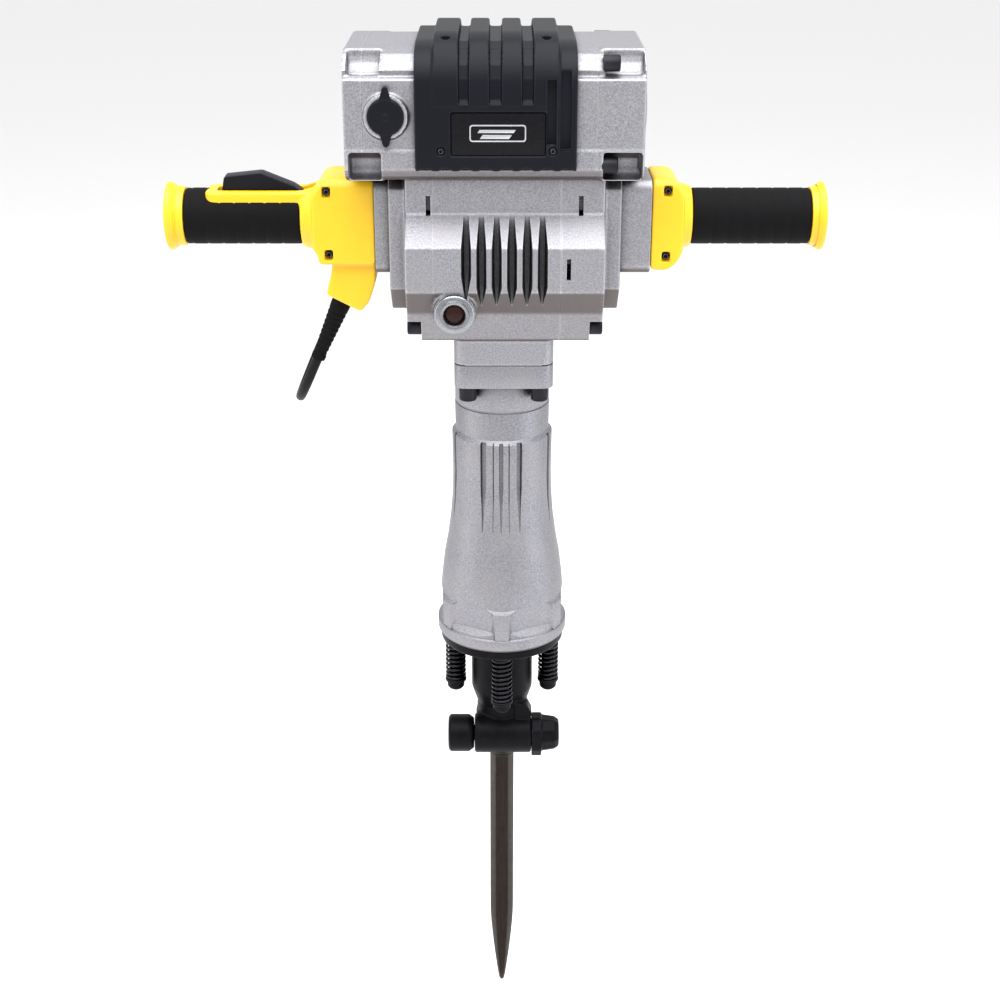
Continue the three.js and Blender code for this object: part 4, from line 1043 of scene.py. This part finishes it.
def chisel_bar():
    """A hexagonal bar forged to a slightly convex point, with its collar and the stopper's notch."""
    tip, side = 2.6, 11.3
    stages = [(0, 1.2), (2, tip)]
    for t in (0.1, 0.2, 0.35, 0.5, 0.65, 0.8, 0.92):
        stages.append((102 * t, tip + (side - tip) * (1 - (1 - t) ** 1.45)))
    stages += [(104, side), (304, side), (306, 12)]
    widen = 2 / math.sqrt(3)
    profile = [(0, 0)] + [(r * widen, z) for z, r in stages] + [(0, 306)]
    bar = made("chisel_forging", turned("z", profile, segments=6))
    profile = [(0, 310), (15 * widen, 310), (15 * widen, 407), (14 * widen, 410), (0, 410)]
    shank = made("shank", turned("z", profile, segments=6))
    carve(shank, block(-20, 20, -20, -11.4, 317.4, 348.6))
    profile = rounded([(0, 305), (13.2, 305), (15, 308), (15, 313), (0, 313)], 1, closed=False)
    joined(joined(bar, shank), made("collar", turned("z", profile, segments=64)))
    publish(edged(bar, 0.9, 3, 30), TOOL_STEEL, "chisel", replaces=("chisel",))


# ---------------------------------------------------------------- what the frame shows as it is
INNER = {
    BRIGHT_STEEL: [
        "armature_bearing_left", "armature_bearing_right", "idler_gear", "crank_gear", "crankshaft",
        "crank_bearing_left", "crank_bearing_right", "connecting_rod", "piston", "cylinder", "striker",
        "impact_bolt",
    ],
    COPPER: ["armature", "field_coil"],
    NYLON: ["cooling_fan", "switch_box", "carbon_brush_front", "carbon_brush_rear"],
    RUBBER: ["damper_ring"],
}


def finish_inner_parts():
    """Gives the carried-over parts their metals and plastics, their shapes untouched."""
    for material, names in INNER.items():
        for name in names:
            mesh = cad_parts[name].data
            mesh.materials.clear()
            mesh.materials.append(material)


# ---------------------------------------------------------------- studio
def studio():
    """A pale floor, a pale room and three soft lights: one wide overhead, and one on each side."""
    floor = bpy.data.objects.new("floor", bpy.data.meshes.new("floor"))
    bm = bmesh.new()
    bmesh.ops.create_grid(bm, x_segments=1, y_segments=1, size=30)
    bm.to_mesh(floor.data)
    bm.free()
    scene.collection.objects.link(floor)
    paper = bpy.data.materials.new("studio_paper")
    paper.use_nodes = True
    paper.node_tree.nodes["Principled BSDF"].inputs["Base Color"].default_value = linear("#f4f4f4")
    paper.node_tree.nodes["Principled BSDF"].inputs["Roughness"].default_value = 0.9
    floor.data.materials.append(paper)
    floor.location.z = -0.002
    world = bpy.data.worlds.new("room")
    world.use_nodes = True
    world.node_tree.nodes["Background"].inputs["Color"].default_value = linear("#ffffff")
    world.node_tree.nodes["Background"].inputs["Strength"].default_value = 0.95
    scene.world = world
    lights = [
        ("overhead", (0, -500, 2700), (2800, 2600), 100, "#ffffff"),
        ("left_panel", (-1900, -500, 1000), (900, 1800), 9, "#fffdf8"),
        ("right_panel", (1900, -700, 1000), (900, 1800), 10, "#f8fbff"),
    ]
    for name, at, size, power, tint in lights:
        lamp = bpy.data.lights.new(name, "AREA")
        lamp.shape = "RECTANGLE"
        lamp.size, lamp.size_y = size[0] * MM, size[1] * MM
        lamp.energy = power
        lamp.color = linear(tint)[:3]
        shade = bpy.data.objects.new(name, lamp)
        shade.location = Vector(at) * MM
        aim = Vector((0, 0, 750)) * MM - shade.location
        shade.rotation_euler = aim.to_track_quat("-Z", "Y").to_euler()
        scene.collection.objects.link(shade)


cast_head()
cast_crankcase()
cast_brackets()
hammer_case_casting()
motor_cover_moulding()
badge()
brush_cap("front", -1)
brush_cap("rear", 1)
oil_gauge()
left_handle()
right_handle()
grip_sleeve("left_grip", -190.3, -299.6, [prism("z", pill(-271, -178, -10.5, 10.5, 3), 905, 960)])
grip_sleeve("right_grip", 179.3, 291.4)
end_flange("left_end_flange", -299.5, -317.5)
end_flange("right_end_flange", 291, 305)
trigger_lever()
front_cover_forging()
for number, (x, y) in enumerate(SPRING_SPOTS, 1):
    sprung_bolt(number, x, y)
stopper()
chisel_bar()
finish_inner_parts()
studio()
